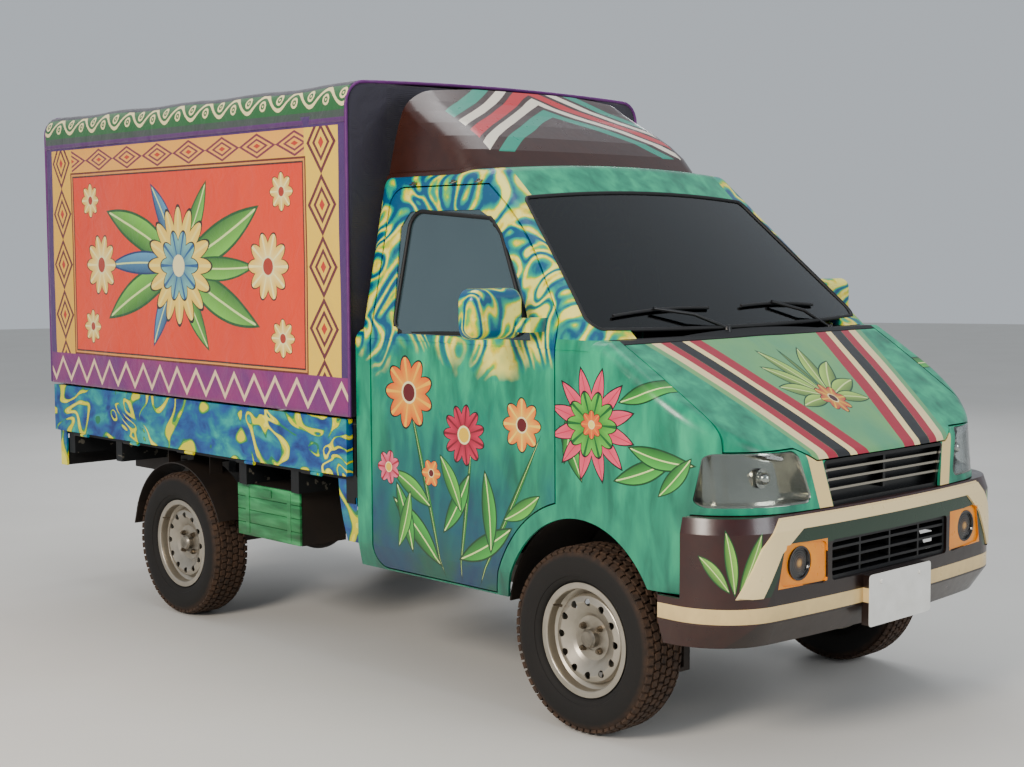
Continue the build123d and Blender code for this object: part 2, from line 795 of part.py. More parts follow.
def bumper_form(inset):
    """The bumper's closed form, drawn in by inset."""
    rise = {bumper_low_z: inset, bumper_top_z: -inset}
    with BuildPart() as form:
        loft([cab_level(height + rise.get(height, 0), half_width, front, bumper_bow, inset, bumper_corner_radius)
              for height, half_width, front in bumper_levels], ruled=True)
    return form.part


intake_half_width = 315
intake_low_z = 526
intake_high_z = 650
fog_x = 454
fog_z = 596
fog_radius = 52
# Recess round a fog lamp: corner points across and up, and its depth
fog_recess_outline = [(334, 524), (550, 536), (521, 664), (338, 652)]
fog_recess_depth = 6
plate_holder_width = 326
plate_holder_height = 156
plate_holder_z = 444
bumper_outline = [
    (-900, 300), (bumper_foot_y, 300), (bumper_foot_y, bumper_foot_z), (bumper_end_y, bumper_foot_z),
    (bumper_end_y, 800), (-900, 800),
]
# Moulded band on the bumper: an arch over the intake that ends at the lower corners
band_outer = [(-681, 517), (-617, 653), (-541, 733), (541, 733), (617, 653), (681, 517)]
band_inner = [(615, 507), (540, 635), (450, 701), (-450, 701), (-540, 635), (-615, 507)]
band_height = 5
with BuildPart() as bumper_band:
    with BuildSketch(Plane.XZ.offset(-bumper_foot_y)):
        with BuildLine():
            Polyline(*band_outer, *band_inner, close=True)
        make_face()
    extrude(amount=400)
    add(bumper_form(-band_height), mode=Mode.INTERSECT)
    add(bumper_form(2), mode=Mode.SUBTRACT)
with BuildPart() as fog_recess:
    with BuildSketch(Plane.XZ.offset(-bumper_foot_y)) as recess_face:
        with BuildLine():
            Polyline(*fog_recess_outline, close=True)
        make_face()
        fillet(recess_face.vertices(), 24)
        mirror(about=Plane.YZ)
    extrude(amount=400)
    add(bumper_form(fog_recess_depth), mode=Mode.SUBTRACT)
with BuildPart() as front_bumper:
    with BuildSketch(Plane.YZ.offset(-900)):
        with BuildLine():
            Polyline(*bumper_outline, close=True)
        make_face()
    extrude(amount=1800)
    add(bumper_form(0), mode=Mode.INTERSECT)
    add(bumper_form(bumper_wall), mode=Mode.SUBTRACT)
    add(fog_recess.part, mode=Mode.SUBTRACT)
    # Lower air intake and the two fog lamp openings
    with BuildSketch(Plane.XZ.offset(800)):
        with Locations((0, (intake_low_z + intake_high_z) / 2)):
            RectangleRounded(2 * intake_half_width, intake_high_z - intake_low_z, 14)
        with Locations((-fog_x, fog_z), (fog_x, fog_z)):
            Circle(fog_radius)
    extrude(amount=-300, mode=Mode.SUBTRACT)
    add(bumper_band.part)
    # Holder of the number plate
    plate_holder_back_y = bumper_front_y + bumper_wall / 2
    with Locations((0, (plate_holder_back_y - front_overhang) / 2, plate_holder_z)):
        Box(plate_holder_width, plate_holder_back_y + front_overhang, plate_holder_height)
write_piece(front_bumper, "front_bumper")

# Beam behind the bumper on the rails' ends, with two pads that reach the bumper's wall
beam_half_length = 550
beam_depth = 50
beam_height = 90
beam_z = rail_low_z + rail_height / 2
pad_x = 240
with BuildPart() as bumper_pads:
    for side in (-1, 1):
        with Locations((side * pad_x, rail_front_y - 10 - beam_depth / 2 - 60, beam_z)):
            Box(70, beam_depth + 120, 60)
    add(bumper_form(bumper_wall + seat_gap), mode=Mode.INTERSECT)
with BuildPart() as whole_frame:
    add(ladder_frame.part)
    with Locations((0, rail_front_y - 10 - beam_depth / 2, beam_z)):
        Box(2 * beam_half_length, beam_depth, beam_height)
    for side in (-1, 1):
        with Locations((side * (rail_outer_x - rail_width / 2), rail_front_y - 5, beam_z)):
            Box(rail_width, 10, beam_height)
    add(bumper_pads.part)
write_piece(whole_frame, "ladder_frame")

# Intake grille: slats between the bumper's cheeks
with BuildPart() as bumper_grille:
    with BuildSketch(Plane.XZ.offset(-bumper_front_y - bumper_wall - 4)):
        with Locations((0, (intake_low_z + intake_high_z) / 2)):
            RectangleRounded(2 * intake_half_width - 2 * seat_gap, intake_high_z - intake_low_z - 2 * seat_gap, 14)
            RectangleRounded(2 * intake_half_width - 24, intake_high_z - intake_low_z - 24, 8,
                             mode=Mode.SUBTRACT)
    extrude(amount=-40)
    for slat_z in (556, 588, 620):
        with Locations((0, bumper_front_y + bumper_wall + 24, slat_z)):
            Box(2 * intake_half_width - 20, 40, 8)
    for rib_x in (-160, 0, 160):
        with Locations((rib_x, bumper_front_y + bumper_wall + 24, 588)):
            Box(8, 40, intake_high_z - intake_low_z - 20)
write_piece(bumper_grille, "bumper_grille")

# Fog lamps: round bodies with a domed glass
with BuildPart() as fog_lamps:
    with BuildSketch(Plane.XY):
        with BuildLine():
            Polyline((0, -30), (fog_radius - 6, -30), (fog_radius - seat_gap, 0), (fog_radius - seat_gap, 14),
                     (fog_radius - 6, 14), (fog_radius - 8, 8), (0, 12), (0, -30))
        make_face()
    revolve(axis=Axis.Y)
fog_front_y = bumper_front_y + 38
with BuildPart() as fog_pair:
    for side in (-1, 1):
        add(fog_lamps.part.rotate(Axis.X, 180).moved(Location((side * fog_x, fog_front_y, fog_z))))
write_piece(fog_pair, "fog_lamps")

# Wheel houses: arch liner, inner wall and the strut tower over it
tower_x = strut_x(700)
liner_top_z = arch_centre_z + arch_height
tower_top_z = strut_top_z + 6
with BuildPart() as wheelhouse:
    with BuildSketch(Plane.YZ.offset(-wheelhouse_outer_x)):
        with Locations((0, arch_centre_z)):
            Ellipse(arch_half_length + wheelhouse_wall, arch_height + wheelhouse_wall)
    extrude(amount=wheelhouse_outer_x - wheelhouse_inner_x + wheelhouse_wall)
    with BuildSketch(Plane.XY.offset(liner_top_z - 60)):
        with Locations((-tower_x, 0)):
            RectangleRounded(160, 150, 30)
    extrude(amount=tower_top_z + wheelhouse_wall - liner_top_z + 60)
    with BuildSketch(Plane.YZ.offset(-cab_half_width)):
        with Locations((0, arch_centre_z)):
            Ellipse(arch_half_length, arch_height)
    extrude(amount=cab_half_width - wheelhouse_inner_x, mode=Mode.SUBTRACT)
    with BuildSketch(Plane.XY.offset(liner_top_z - 80)):
        with Locations((-tower_x, 0)):
            RectangleRounded(160 - 2 * wheelhouse_wall, 150 - 2 * wheelhouse_wall, 24)
    extrude(amount=tower_top_z - liner_top_z + 80, mode=Mode.SUBTRACT)
    with Locations((-500, 0, 120)):
        Box(700, 900, 500, mode=Mode.SUBTRACT)
with BuildPart() as wheelhouses:
    add(wheelhouse.part)
    add(wheelhouse.part.mirror(Plane.YZ))
write_piece(wheelhouses, "wheelhouses")

# Floor pan: footwell, firewall, seat riser over the engine and the rear floor
floor_z = rail_low_z + rail_height + 10
floor_wall = 8
riser_front_y = 440
riser_rear_y = 1000
riser_top_z = 745
riser_half_width = 600
inner_half_width = cab_half_width - cab_wall - seat_gap
ledge_form = cab_form(bonnet_wall + seat_gap)
with BuildPart() as floor_pan:
    with BuildSketch(Plane.XY.offset(floor_z)):
        with Locations((0, 170)):
            Rectangle(2 * (wheelhouse_inner_x - wheelhouse_wall), 560)
        with Locations((0, (strip_low_y + 10 + pillar_split_y - seat_gap) / 2)):
            Rectangle(2 * inner_half_width, pillar_split_y - seat_gap - strip_low_y - 10)
    extrude(amount=floor_wall)
    with Locations((0, (riser_front_y + riser_rear_y) / 2, (floor_z + riser_top_z) / 2)):
        Box(2 * riser_half_width, riser_rear_y - riser_front_y, riser_top_z - floor_z)
    with Locations((0, (riser_front_y + riser_rear_y) / 2, (floor_z + riser_top_z) / 2 - floor_wall)):
        Box(2 * (riser_half_width - floor_wall), riser_rear_y - riser_front_y - 2 * floor_wall,
            riser_top_z - floor_z, mode=Mode.SUBTRACT)
    # Firewall between the wheel houses and above them
    firewall_y = -110
    with BuildSketch(Plane.XZ.offset(-firewall_y)):
        with Locations((0, 600)):
            Rectangle(2 * (wheelhouse_inner_x - wheelhouse_wall), 190)
        with Locations((0, 940)):
            Rectangle(2 * (cab_half_width - 60), 500)
    extrude(amount=-floor_wall)
    # Rubber mounts on the rails
    for mount_y in (-60, 1000):
        for side in (-1, 1):
            with BuildSketch(Plane.XY.offset(floor_z - 10)):
                with Locations((side * (rail_outer_x - rail_width / 2), mount_y)):
                    Circle(22)
            extrude(amount=12)
    # Two ledges on the firewall that the closed bonnet rests on
    with BuildPart(mode=Mode.PRIVATE) as bonnet_ledges:
        for side in (-1, 1):
            with Locations((side * 480, firewall_y - 25, 1160)):
                Box(120, 60, 160)
    add(bonnet_ledges.part & ledge_form)
write_piece(floor_pan, "floor_pan")

# Engine and gearbox as plain blocks on their mounts
with BuildPart() as engine:
    with Locations((0, 700, 500)):
        Box(420, 420, 440)
    with Locations((0, 1080, 340)):
        Box(220, 380, 100)
    for side in (-1, 1):
        with Locations((side * 265, 700, rail_low_z + rail_height / 2)):
            Box(120, 60, rail_height)
write_piece(engine, "engine")

# Propeller shaft from the gearbox to the differential
shaft_front = Vector(0, 1272, 340)
shaft_rear = Vector(0, wheelbase - 118, tyre_radius)
shaft_line = shaft_rear - shaft_front
with BuildPart() as propshaft:
    with BuildSketch(Plane(origin=shaft_front, z_dir=shaft_line)):
        Circle(28)
    extrude(amount=shaft_line.length)
write_piece(propshaft, "propshaft")

# Fuel tank on the left rail
with BuildPart() as fuel_tank:
    with BuildSketch(Plane.XZ.offset(-1340)):
        with Locations((540, 480)):
            RectangleRounded(280, 220, 40)
    extrude(amount=-480)
    for strap_y in (1430, 1730):
        with Locations((385, strap_y, 545)):
            Box(30, 40, 70)
write_piece(fuel_tank, "fuel_tank")

# Exhaust: pipe back from the engine, silencer and tail pipe
exhaust_x = -190
with BuildPart() as exhaust:
    with BuildLine() as exhaust_line:
        FilletPolyline((exhaust_x, 910.3, 330), (exhaust_x, 1300, 330), (exhaust_x, 1500, 400),
                       (exhaust_x, 3280, 400), radius=80)
    with BuildSketch(Plane(origin=exhaust_line.line @ 0, z_dir=exhaust_line.line % 0)):
        Circle(19)
    sweep()
    with BuildSketch(Plane.XZ.offset(-2760)):
        with Locations((exhaust_x, 400)):
            RectangleRounded(190, 110, 50)
    extrude(amount=-420)
    for hanger_y in (1960, 2740):
        with Locations((exhaust_x, hanger_y, (419 + rail_high_z) / 2 - 4)):
            Box(16, 20, rail_high_z - 411)
write_piece(exhaust, "exhaust")

# Dashboard, steering column and wheel
with BuildPart() as dashboard:
    with BuildSketch(Plane.YZ.offset(-(inner_half_width - 35))):
        with BuildLine():
            FilletPolyline((-60, 1186), (60, 1190), (215, 1165), (245, 1080), (215, 880), (120, 820),
                           (-60, 860), radius=24, close=True)
        make_face()
    extrude(amount=2 * (inner_half_width - 35))
    for side in (-1, 1):
        with Locations((side * 300, -78, 900)):
            Box(60, 48, 60)
write_piece(dashboard, "dashboard")

wheel_x = 330
column_tilt = 38
column_plane = Plane(origin=(wheel_x, 430, 1010), x_dir=(1, 0, 0),
                     z_dir=(0, math.sin(math.radians(column_tilt)), math.cos(math.radians(column_tilt))))
with BuildPart() as steering_wheel:
    with BuildSketch(Plane.XZ) as wheel_ring:
        with Locations((180, 0)):
            Circle(13)
    revolve(axis=Axis.Z)
    with BuildSketch(Plane.XY.offset(-34)):
        Circle(52)
    extrude(amount=26)
    for spoke_angle in (20, 160, 270):
        with BuildSketch(Plane.XY.offset(-20).rotated((0, 0, spoke_angle))):
            with Locations((110, 0)):
                Rectangle(130, 30)
        extrude(amount=12)
    with BuildSketch(Plane.XY.offset(-34)):
        Circle(26)
    extrude(amount=-700)
with BuildPart() as steering_column:
    add(steering_wheel.part.moved(column_plane.location))
    with Locations((wheel_x, 0, (floor_z + floor_wall) / 2)):
        Box(200, 600, floor_z + floor_wall + 2 * seat_gap, mode=Mode.SUBTRACT)
write_piece(steering_column, "steering_wheel")

# Seats: two cushions on the riser with their backs
seat_centre_x = 330
seat_width = 500
with BuildPart() as seats:
    for side in (-1, 1):
        with BuildSketch(Plane.YZ.offset(side * seat_centre_x - seat_width / 2)):
            with BuildLine():
                FilletPolyline((460, riser_top_z + seat_gap), (940, riser_top_z + seat_gap),
                               (940, riser_top_z + 105), (460, riser_top_z + 135), radius=30, close=True)
            make_face()
        extrude(amount=seat_width)
    for side in (-1, 1):
        with BuildSketch(Plane.YZ.offset(side * seat_centre_x - seat_width / 2)):
            with BuildLine():
                FilletPolyline((850, riser_top_z + 90), (960, riser_top_z + 50), (1045, 1330),
                               (1040, 1480), (975, 1480), (945, 1330), radius=28, close=True)
            make_face()
        extrude(amount=seat_width)
write_piece(seats, "seats")

# Cargo deck: floor plate, cross sills, front bulkhead and corner plates
sill_low_z = rail_high_z + rail_height
with BuildPart() as cargo_deck:
    with Locations((0, (bed_front_y + bed_rear_y) / 2, deck_z - deck_thickness / 2)):
        Box(2 * deck_half_width, bed_rear_y - bed_front_y, deck_thickness)
    # Cross sills: distance behind the front axle, half length
    for sill_y, half_length in ((1175, 722), (1520, 722), (1870, 722), (2190, 560), (2510, 560),
                                (2830, 722), (3250, 722)):
        with Locations((0, sill_y, (sill_low_z + deck_z - deck_thickness) / 2)):
            Box(2 * half_length, 50, deck_z - deck_thickness - sill_low_z)
    with Locations((0, bed_front_y + 10, (deck_z + dropside_top_z) / 2)):
        Box(2 * deck_half_width, 20, dropside_top_z - deck_z)
    for side in (-1, 1):
        with Locations((side * (deck_half_width - 4), bed_front_y - 5, 662)):
            Box(8, 36, 76)


def hinge_positions(start, end, count):
    """Centres of evenly spaced hinges along an edge."""
    step = (end - start) / count
    return [start + step * (index + 0.5) for index in range(count)]


# Dropsides, hinged along their lower edge on lugs that stand out from the deck
dropside_front_y = bed_front_y + 12
dropside_rear_y = bed_rear_y - 4
dropside_inner_x = dropside_outer_x - dropside_thickness
side_hinge_x = dropside_outer_x - 2
lug_length = 60
side_hinges = hinge_positions(dropside_front_y, dropside_rear_y, 5)
with BuildPart() as dropside:
    with Locations((-(dropside_inner_x + dropside_thickness / 2), (dropside_front_y + dropside_rear_y) / 2,
                    (dropside_low_z + dropside_top_z) / 2)):
        Box(dropside_thickness, dropside_rear_y - dropside_front_y, dropside_top_z - dropside_low_z)
    for hinge_y in side_hinges:
        with BuildSketch(Plane.XZ.offset(-hinge_y)):
            with Locations((-side_hinge_x, hinge_z)):
                Circle(hinge_radius)
            with Locations((-side_hinge_x + 4, (hinge_z + dropside_low_z) / 2 + 2)):
                Rectangle(6, dropside_low_z - hinge_z + 4)
        extrude(amount=lug_length)
write_pair(dropside, "dropside")

# Tailgate
tailgate_half_width = 748
tailgate_inner_y = tailgate_outer_y - dropside_thickness
rear_hinge_y = rear_end_y - hinge_radius
rear_hinges = hinge_positions(-600, 600, 3)
with BuildPart() as tailgate:
    with Locations((0, (tailgate_inner_y + tailgate_outer_y) / 2, (dropside_low_z + dropside_top_z) / 2)):
        Box(2 * tailgate_half_width, dropside_thickness, dropside_top_z - dropside_low_z)
    for hinge_x in rear_hinges:
        with BuildSketch(Plane.YZ.offset(hinge_x)):
            with Locations((rear_hinge_y, hinge_z)):
                Circle(hinge_radius)
            with Locations((rear_hinge_y - 4, (hinge_z + dropside_low_z) / 2 + 2)):
                Rectangle(6, dropside_low_z - hinge_z + 4)
        extrude(amount=lug_length)
write_piece(tailgate, "tailgate")

# Deck with the fixed halves of the hinges, beside the moving ones, and sockets for the hoops' feet
bow_x = deck_half_width - bow_tube_radius - 2
bow_front_y = bed_front_y + 40
bow_rear_y = bed_rear_y - 30
bow_count = 5
bow_socket_depth = 10
hoop_stations = [bow_front_y + index * (bow_rear_y - bow_front_y) / (bow_count - 1) for index in range(bow_count)]
with BuildPart() as deck_with_hinges:
    add(cargo_deck.part)
    with BuildSketch(Plane.XY.offset(deck_z - bow_socket_depth)):
        for hoop_y in hoop_stations:
            with Locations((-bow_x, hoop_y), (bow_x, hoop_y)):
                Circle(bow_tube_radius + seat_gap)
    extrude(amount=bow_socket_depth, mode=Mode.SUBTRACT)
    for side in (-1, 1):
        for hinge_y in side_hinges:
            with BuildSketch(Plane.XZ.offset(-hinge_y - hinge_gap)):
                with Locations((side * side_hinge_x, hinge_z)):
                    Circle(hinge_radius)
                with Locations((side * (deck_half_width + side_hinge_x) / 2, hinge_z - 3)):
                    Rectangle(side_hinge_x - deck_half_width, 8)
            extrude(amount=-lug_length)
    for hinge_x in rear_hinges:
        with BuildSketch(Plane.YZ.offset(hinge_x - hinge_gap)):
            with Locations((rear_hinge_y, hinge_z)):
                Circle(hinge_radius)
            with Locations(((bed_rear_y + rear_hinge_y) / 2, hinge_z - 3)):
                Rectangle(rear_hinge_y - bed_rear_y, 8)
        extrude(amount=-lug_length)
write_piece(deck_with_hinges, "cargo_deck")

# Bow frame: each hoop is welded from posts, short bends and a roof bar, and stands on the deck;
# the rails run outside the posts and under the roof bars
bow_top_z = canvas_top_z - canvas_thickness - bow_tube_radius - 12
bow_foot_z = deck_z - bow_socket_depth + seat_gap
bow_bend_radius = 90
bow_bend_count = 3
bow_bend_angle = 90 / bow_bend_count
bow_bend_gap = math.degrees(seat_gap / bow_bend_radius)
bow_bend_x = bow_x - bow_bend_radius
bow_bend_z = bow_top_z - bow_bend_radius
side_rail_x = bow_x + 2 * bow_tube_radius + seat_gap
roof_rail_z = bow_top_z - 2 * bow_tube_radius - seat_gap
with BuildPart() as bow_frame:
    for hoop_y in hoop_stations:
        with BuildSketch(Plane.XY.offset(bow_foot_z)):
            with Locations((-bow_x, hoop_y), (bow_x, hoop_y)):
                Circle(bow_tube_radius)
        extrude(amount=bow_bend_z - bow_foot_z)
        with BuildSketch(Plane.YZ.offset(seat_gap - bow_bend_x)):
            with Locations((hoop_y, bow_top_z)):
                Circle(bow_tube_radius)
        extrude(amount=2 * (bow_bend_x - seat_gap))
        for side in (-1, 1):
            for index in range(bow_bend_count):
                start = math.radians(index * bow_bend_angle + bow_bend_gap)
                with BuildSketch(Plane(origin=(side * (bow_bend_x + bow_bend_radius * math.cos(start)), hoop_y,
                                               bow_bend_z + bow_bend_radius * math.sin(start)),
                                       x_dir=(0, 1, 0), z_dir=(-side * math.sin(start), 0, math.cos(start)))):
                    Circle(bow_tube_radius)
                revolve(axis=Axis((side * bow_bend_x, hoop_y, bow_bend_z), (0, -side, 0)),
                        revolution_arc=bow_bend_angle - bow_bend_gap)
    # Rails along the sides and the roof: x, z
    for rail_x, rail_z in ((side_rail_x, 945), (side_rail_x, 1450), (side_rail_x, 1990),
                           (bow_x - 200, roof_rail_z), (0, roof_rail_z)):
        for side in ((-1, 1) if rail_x else (1,)):
            with BuildSketch(Plane.XZ.offset(-canvas_front_y - canvas_thickness - seat_gap)):
                with Locations((side * rail_x, rail_z)):
                    Circle(bow_tube_radius)
            extrude(amount=-(canvas_rear_y - canvas_front_y - 2 * (canvas_thickness + seat_gap)))
write_piece(bow_frame, "bow_frame")

# Canvas: roof sheet with its valances, two side sheets, front and rear sheets
sheet_outer_x = canvas_outer_x - canvas_thickness - seat_gap


def canvas_section(outer_x, top_z, low_z, corner):
    """Cross-section of the canvas roof: upright sides, round shoulders and a slightly bowed top."""
    with BuildSketch(Plane.XZ) as section:
        with BuildLine():
            Polyline((-outer_x, top_z - 14), (-outer_x, low_z), (outer_x, low_z), (outer_x, top_z - 14))
            ThreePointArc((outer_x, top_z - 14), (0, top_z), (-outer_x, top_z - 14))
        make_face()
        fillet(section.vertices().group_by(Axis.Y)[-1], corner)
    return section.sketch


with BuildPart() as canvas_roof:
    extrude(canvas_section(canvas_outer_x, canvas_top_z, valance_low_z, canvas_corner_radius)
            .moved(Location((0, canvas_front_y, 0))), amount=-(canvas_rear_y - canvas_front_y))
    extrude(canvas_section(canvas_outer_x - canvas_thickness, canvas_top_z - canvas_thickness,
                           valance_low_z, canvas_corner_radius - canvas_thickness)
            .moved(Location((0, canvas_front_y, 0))), amount=-(canvas_rear_y - canvas_front_y),
            mode=Mode.SUBTRACT)
write_piece(canvas_roof, "canvas_roof")

with BuildPart() as canvas_side:
    with Locations((-sheet_outer_x + canvas_thickness / 2, (canvas_front_y + canvas_rear_y) / 2,
                    (canvas_low_z + valance_low_z + 30) / 2)):
        Box(canvas_thickness, canvas_rear_y - canvas_front_y, valance_low_z + 30 - canvas_low_z)
with BuildPart() as canvas_sides:
    add(canvas_side.part)
    add(canvas_side.part.mirror(Plane.YZ))
write_piece(canvas_sides, "canvas_sides")

end_sheet_x = sheet_outer_x - canvas_thickness - seat_gap
with BuildPart() as canvas_ends:
    for sheet_y in (canvas_front_y, canvas_rear_y - canvas_thickness):
        with BuildSketch(Plane.XZ.offset(-sheet_y)):
            with Locations((0, (canvas_low_z + valance_low_z) / 2)):
                Rectangle(2 * end_sheet_x, valance_low_z - canvas_low_z)
            with Locations((0, (valance_low_z + canvas_top_z - 40) / 2)):
                Rectangle(2 * end_sheet_x - 60, canvas_top_z - 40 - valance_low_z)
        extrude(amount=-canvas_thickness)
write_piece(canvas_ends, "canvas_ends")

# Wind deflector on the cab roof: height, half width, centre of the front, corner radius
fairing_wall = 8
fairing_bow = 45
fairing_foot_width = 12
fairing_foot_height = 9
fairing_levels = [
    (1720, 604, 520, 110),
    (1800, 600, 572, 120),
    (1865, 598, 623, 130),
    (1915, 595, 682, 140),
    (1965, 590, 765, 140),
    (2010, 582, 850, 130),
    (2050, 566, 915, 110),
    (2085, 540, 960, 90),
    (2108, 505, 990, 70),
]
# Its open rear end stands at the roof and leans forward above: distance behind the front axle and height
fairing_rear_foot = (1078, 1700)
fairing_rear_low = (1078, 1800)
fairing_rear_high = (978, 2200)


def fairing_form(inset):
    """Closed form of the deflector, drawn in by inset."""
    with BuildPart() as form:
        loft([cab_level(height - inset if height > 1900 else height, half_width, front, fairing_bow, inset, corner)
              for height, half_width, front, corner in fairing_levels], ruled=True)
    return form.part


with BuildPart() as fairing_foot:
    add(fairing_form(-fairing_foot_width))
    add(cab_form(-fairing_foot_height), mode=Mode.INTERSECT)
    add(fairing_form(fairing_wall), mode=Mode.SUBTRACT)
with BuildPart() as roof_fairing:
    add(fairing_form(0))
    add(fairing_form(fairing_wall), mode=Mode.SUBTRACT)
    add(fairing_foot.part)
    add(outer_form, mode=Mode.SUBTRACT)
    with BuildSketch(Plane.YZ.offset(-cab_half_width)):
        with BuildLine():
            Polyline(fairing_rear_foot, (cab_rear_y + 100, fairing_rear_foot[1]),
                     (cab_rear_y + 100, fairing_rear_high[1]), fairing_rear_high, fairing_rear_low, close=True)
        make_face()
    extrude(amount=2 * cab_half_width, mode=Mode.SUBTRACT)
roof_fairing.part = roof_fairing.part.moved(Location((0, 0, seat_gap)))
write_piece(roof_fairing, "roof_fairing")

# Toolbox under the deck on the right, with a boarded door hinged at its foot
toolbox_front_y = 1524
toolbox_rear_y = 1935
toolbox_low_z = 390
toolbox_outer_x = 690
toolbox_inner_x = 480
toolbox_wall = 4
with BuildPart() as toolbox:
    with Locations((-(toolbox_outer_x + toolbox_inner_x) / 2, (toolbox_front_y + toolbox_rear_y) / 2,
                    (toolbox_low_z + sill_low_z) / 2)):
        Box(toolbox_outer_x - toolbox_inner_x, toolbox_rear_y - toolbox_front_y, sill_low_z - toolbox_low_z)
    with Locations((-(toolbox_outer_x + toolbox_inner_x) / 2 - toolbox_wall, (toolbox_front_y + toolbox_rear_y) / 2,
                    (toolbox_low_z + sill_low_z) / 2)):
        Box(toolbox_outer_x - toolbox_inner_x, toolbox_rear_y - toolbox_front_y - 2 * toolbox_wall,
            sill_low_z - toolbox_low_z - 2 * toolbox_wall, mode=Mode.SUBTRACT)
write_piece(toolbox, "toolbox")

with BuildPart() as toolbox_door:
    with Locations((-toolbox_outer_x - seat_gap - 6, (toolbox_front_y + toolbox_rear_y) / 2,
                    (toolbox_low_z + sill_low_z) / 2)):
        Box(12, toolbox_rear_y - toolbox_front_y + 6, sill_low_z - toolbox_low_z - 2)
write_piece(toolbox_door, "toolbox_door")

# Rear mudguards: arched strips over the wheels with a flap behind
guard_radius = 338
guard_wall = 5
flap_low_z = 345
with BuildPart() as rear_mudguards:
    for side in (-1, 1):
        with BuildSketch(Plane.YZ.offset(side * 575)):
            with Locations((wheelbase, tyre_radius)):
                Circle(guard_radius + guard_wall)
                Circle(guard_radius, mode=Mode.SUBTRACT)
            with Locations((wheelbase, tyre_radius - 320)):
                Rectangle(900, 900, mode=Mode.SUBTRACT)
            with BuildLine():
                Polyline((wheelbase + 304, 440), (wheelbase + 314, 440), (wheelbase + 345, flap_low_z),
                         (wheelbase + 339, flap_low_z), close=True)
            make_face()
        extrude(amount=side * 158)
        for stay_y in (wheelbase - 160, wheelbase + 160):
            with Locations((side * 640, stay_y, 642)):
                Box(60, 5, 88)
write_piece(rear_mudguards, "rear_mudguards")

# Rear bar under the tailgate with the lamps
bar_front_y = rail_rear_y
bar_wall = 8
bar_half_width = deck_half_width + 1
bar_low_z = 540
bar_high_z = 664
end_plate_top_z = 698
with BuildPart() as rear_bar:
    with Locations((0, bar_front_y + bar_wall / 2, (bar_low_z + bar_high_z) / 2)):
        Box(2 * bar_half_width, bar_wall, bar_high_z - bar_low_z)
    for side in (-1, 1):
        with Locations((side * (bar_half_width + bar_wall / 2 - 1), bar_front_y + 15, (bar_low_z + end_plate_top_z) / 2)):
            Box(bar_wall, 54, end_plate_top_z - bar_low_z)
        with Locations((side * 350, bar_front_y + 6, (bar_low_z + 20 + deck_z - deck_thickness) / 2)):
            Box(60, 12, deck_z - deck_thickness - bar_low_z - 20)
write_piece(rear_bar, "rear_bar")

lamp_x = 590
lamp_depth = 34
with BuildPart() as rear_lamps:
    for side in (-1, 1):
        with Locations((side * lamp_x, bar_front_y + bar_wall + lamp_depth / 2, 610)):
            Box(230, lamp_depth, 84)
write_piece(rear_lamps, "rear_lamps")

# Door mirrors on the doors' front corners
mirror_inner_x = 770
mirror_outer_x = 992
mirror_y = 232
mirror_arm_y = 172
mirror_arm_length = 110
mirror_depth = 66
mirror_z = 1322
mirror_height = 158
with BuildPart() as mirror_head:
    with Locations((-(mirror_inner_x + mirror_outer_x) / 2, mirror_y, mirror_z)):
        Box(mirror_outer_x - mirror_inner_x, mirror_depth, mirror_height)
    fillet(mirror_head.edges().filter_by(Axis.Y), 40)
    fillet(mirror_head.edges().group_by(Axis.Y)[0], 30)
    with Locations((-740, mirror_arm_y, 1285)):
        Box(mirror_arm_length, 42, 44)
    with Locations((-790, (mirror_arm_y + mirror_y) / 2, 1285)):
        Box(44, mirror_y - mirror_arm_y, 44)
    add(outer_form, mode=Mode.SUBTRACT)
mirror_head.part = mirror_head.part.moved(Location((-seat_gap, 0, 0)))
write_pair(mirror_head, "mirror")
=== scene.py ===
import math

import bmesh
import bpy
from mathutils import Matrix, Vector, noise
from mathutils.bvhtree import BVHTree


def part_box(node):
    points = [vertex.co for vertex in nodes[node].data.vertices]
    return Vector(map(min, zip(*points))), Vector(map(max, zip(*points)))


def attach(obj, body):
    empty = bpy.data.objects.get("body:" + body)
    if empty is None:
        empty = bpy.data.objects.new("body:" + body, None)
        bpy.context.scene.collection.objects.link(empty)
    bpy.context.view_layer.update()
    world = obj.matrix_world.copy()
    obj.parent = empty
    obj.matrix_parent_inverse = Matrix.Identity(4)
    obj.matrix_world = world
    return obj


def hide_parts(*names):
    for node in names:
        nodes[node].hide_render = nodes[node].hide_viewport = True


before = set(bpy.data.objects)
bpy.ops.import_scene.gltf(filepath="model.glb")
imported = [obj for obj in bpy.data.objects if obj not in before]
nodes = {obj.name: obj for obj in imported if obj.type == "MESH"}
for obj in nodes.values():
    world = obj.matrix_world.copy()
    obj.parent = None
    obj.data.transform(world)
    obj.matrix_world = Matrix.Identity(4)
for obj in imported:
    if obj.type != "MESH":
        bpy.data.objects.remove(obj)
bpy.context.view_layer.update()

# Camera: stands four and a half metres off the front right corner, at eye height, and
# looks slightly down on the truck, as the photographer did.
camera_place = (-4.2990, -4.8225, 1.5344)
camera_heading, camera_tilt, camera_roll = (math.radians(turn) for turn in (-43.284, 85.124, -0.313))
camera = bpy.data.objects.new("camera", bpy.data.cameras.new("camera"))
camera.data.lens = 56.87
camera.data.clip_end = 60
camera.matrix_world = (
    Matrix.Translation(camera_place)
    @ Matrix.Rotation(camera_heading, 4, "Z")
    @ Matrix.Rotation(camera_tilt, 4, "X")
    @ Matrix.Rotation(camera_roll, 4, "Z")
)
bpy.context.scene.collection.objects.link(camera)
bpy.context.scene.camera = camera

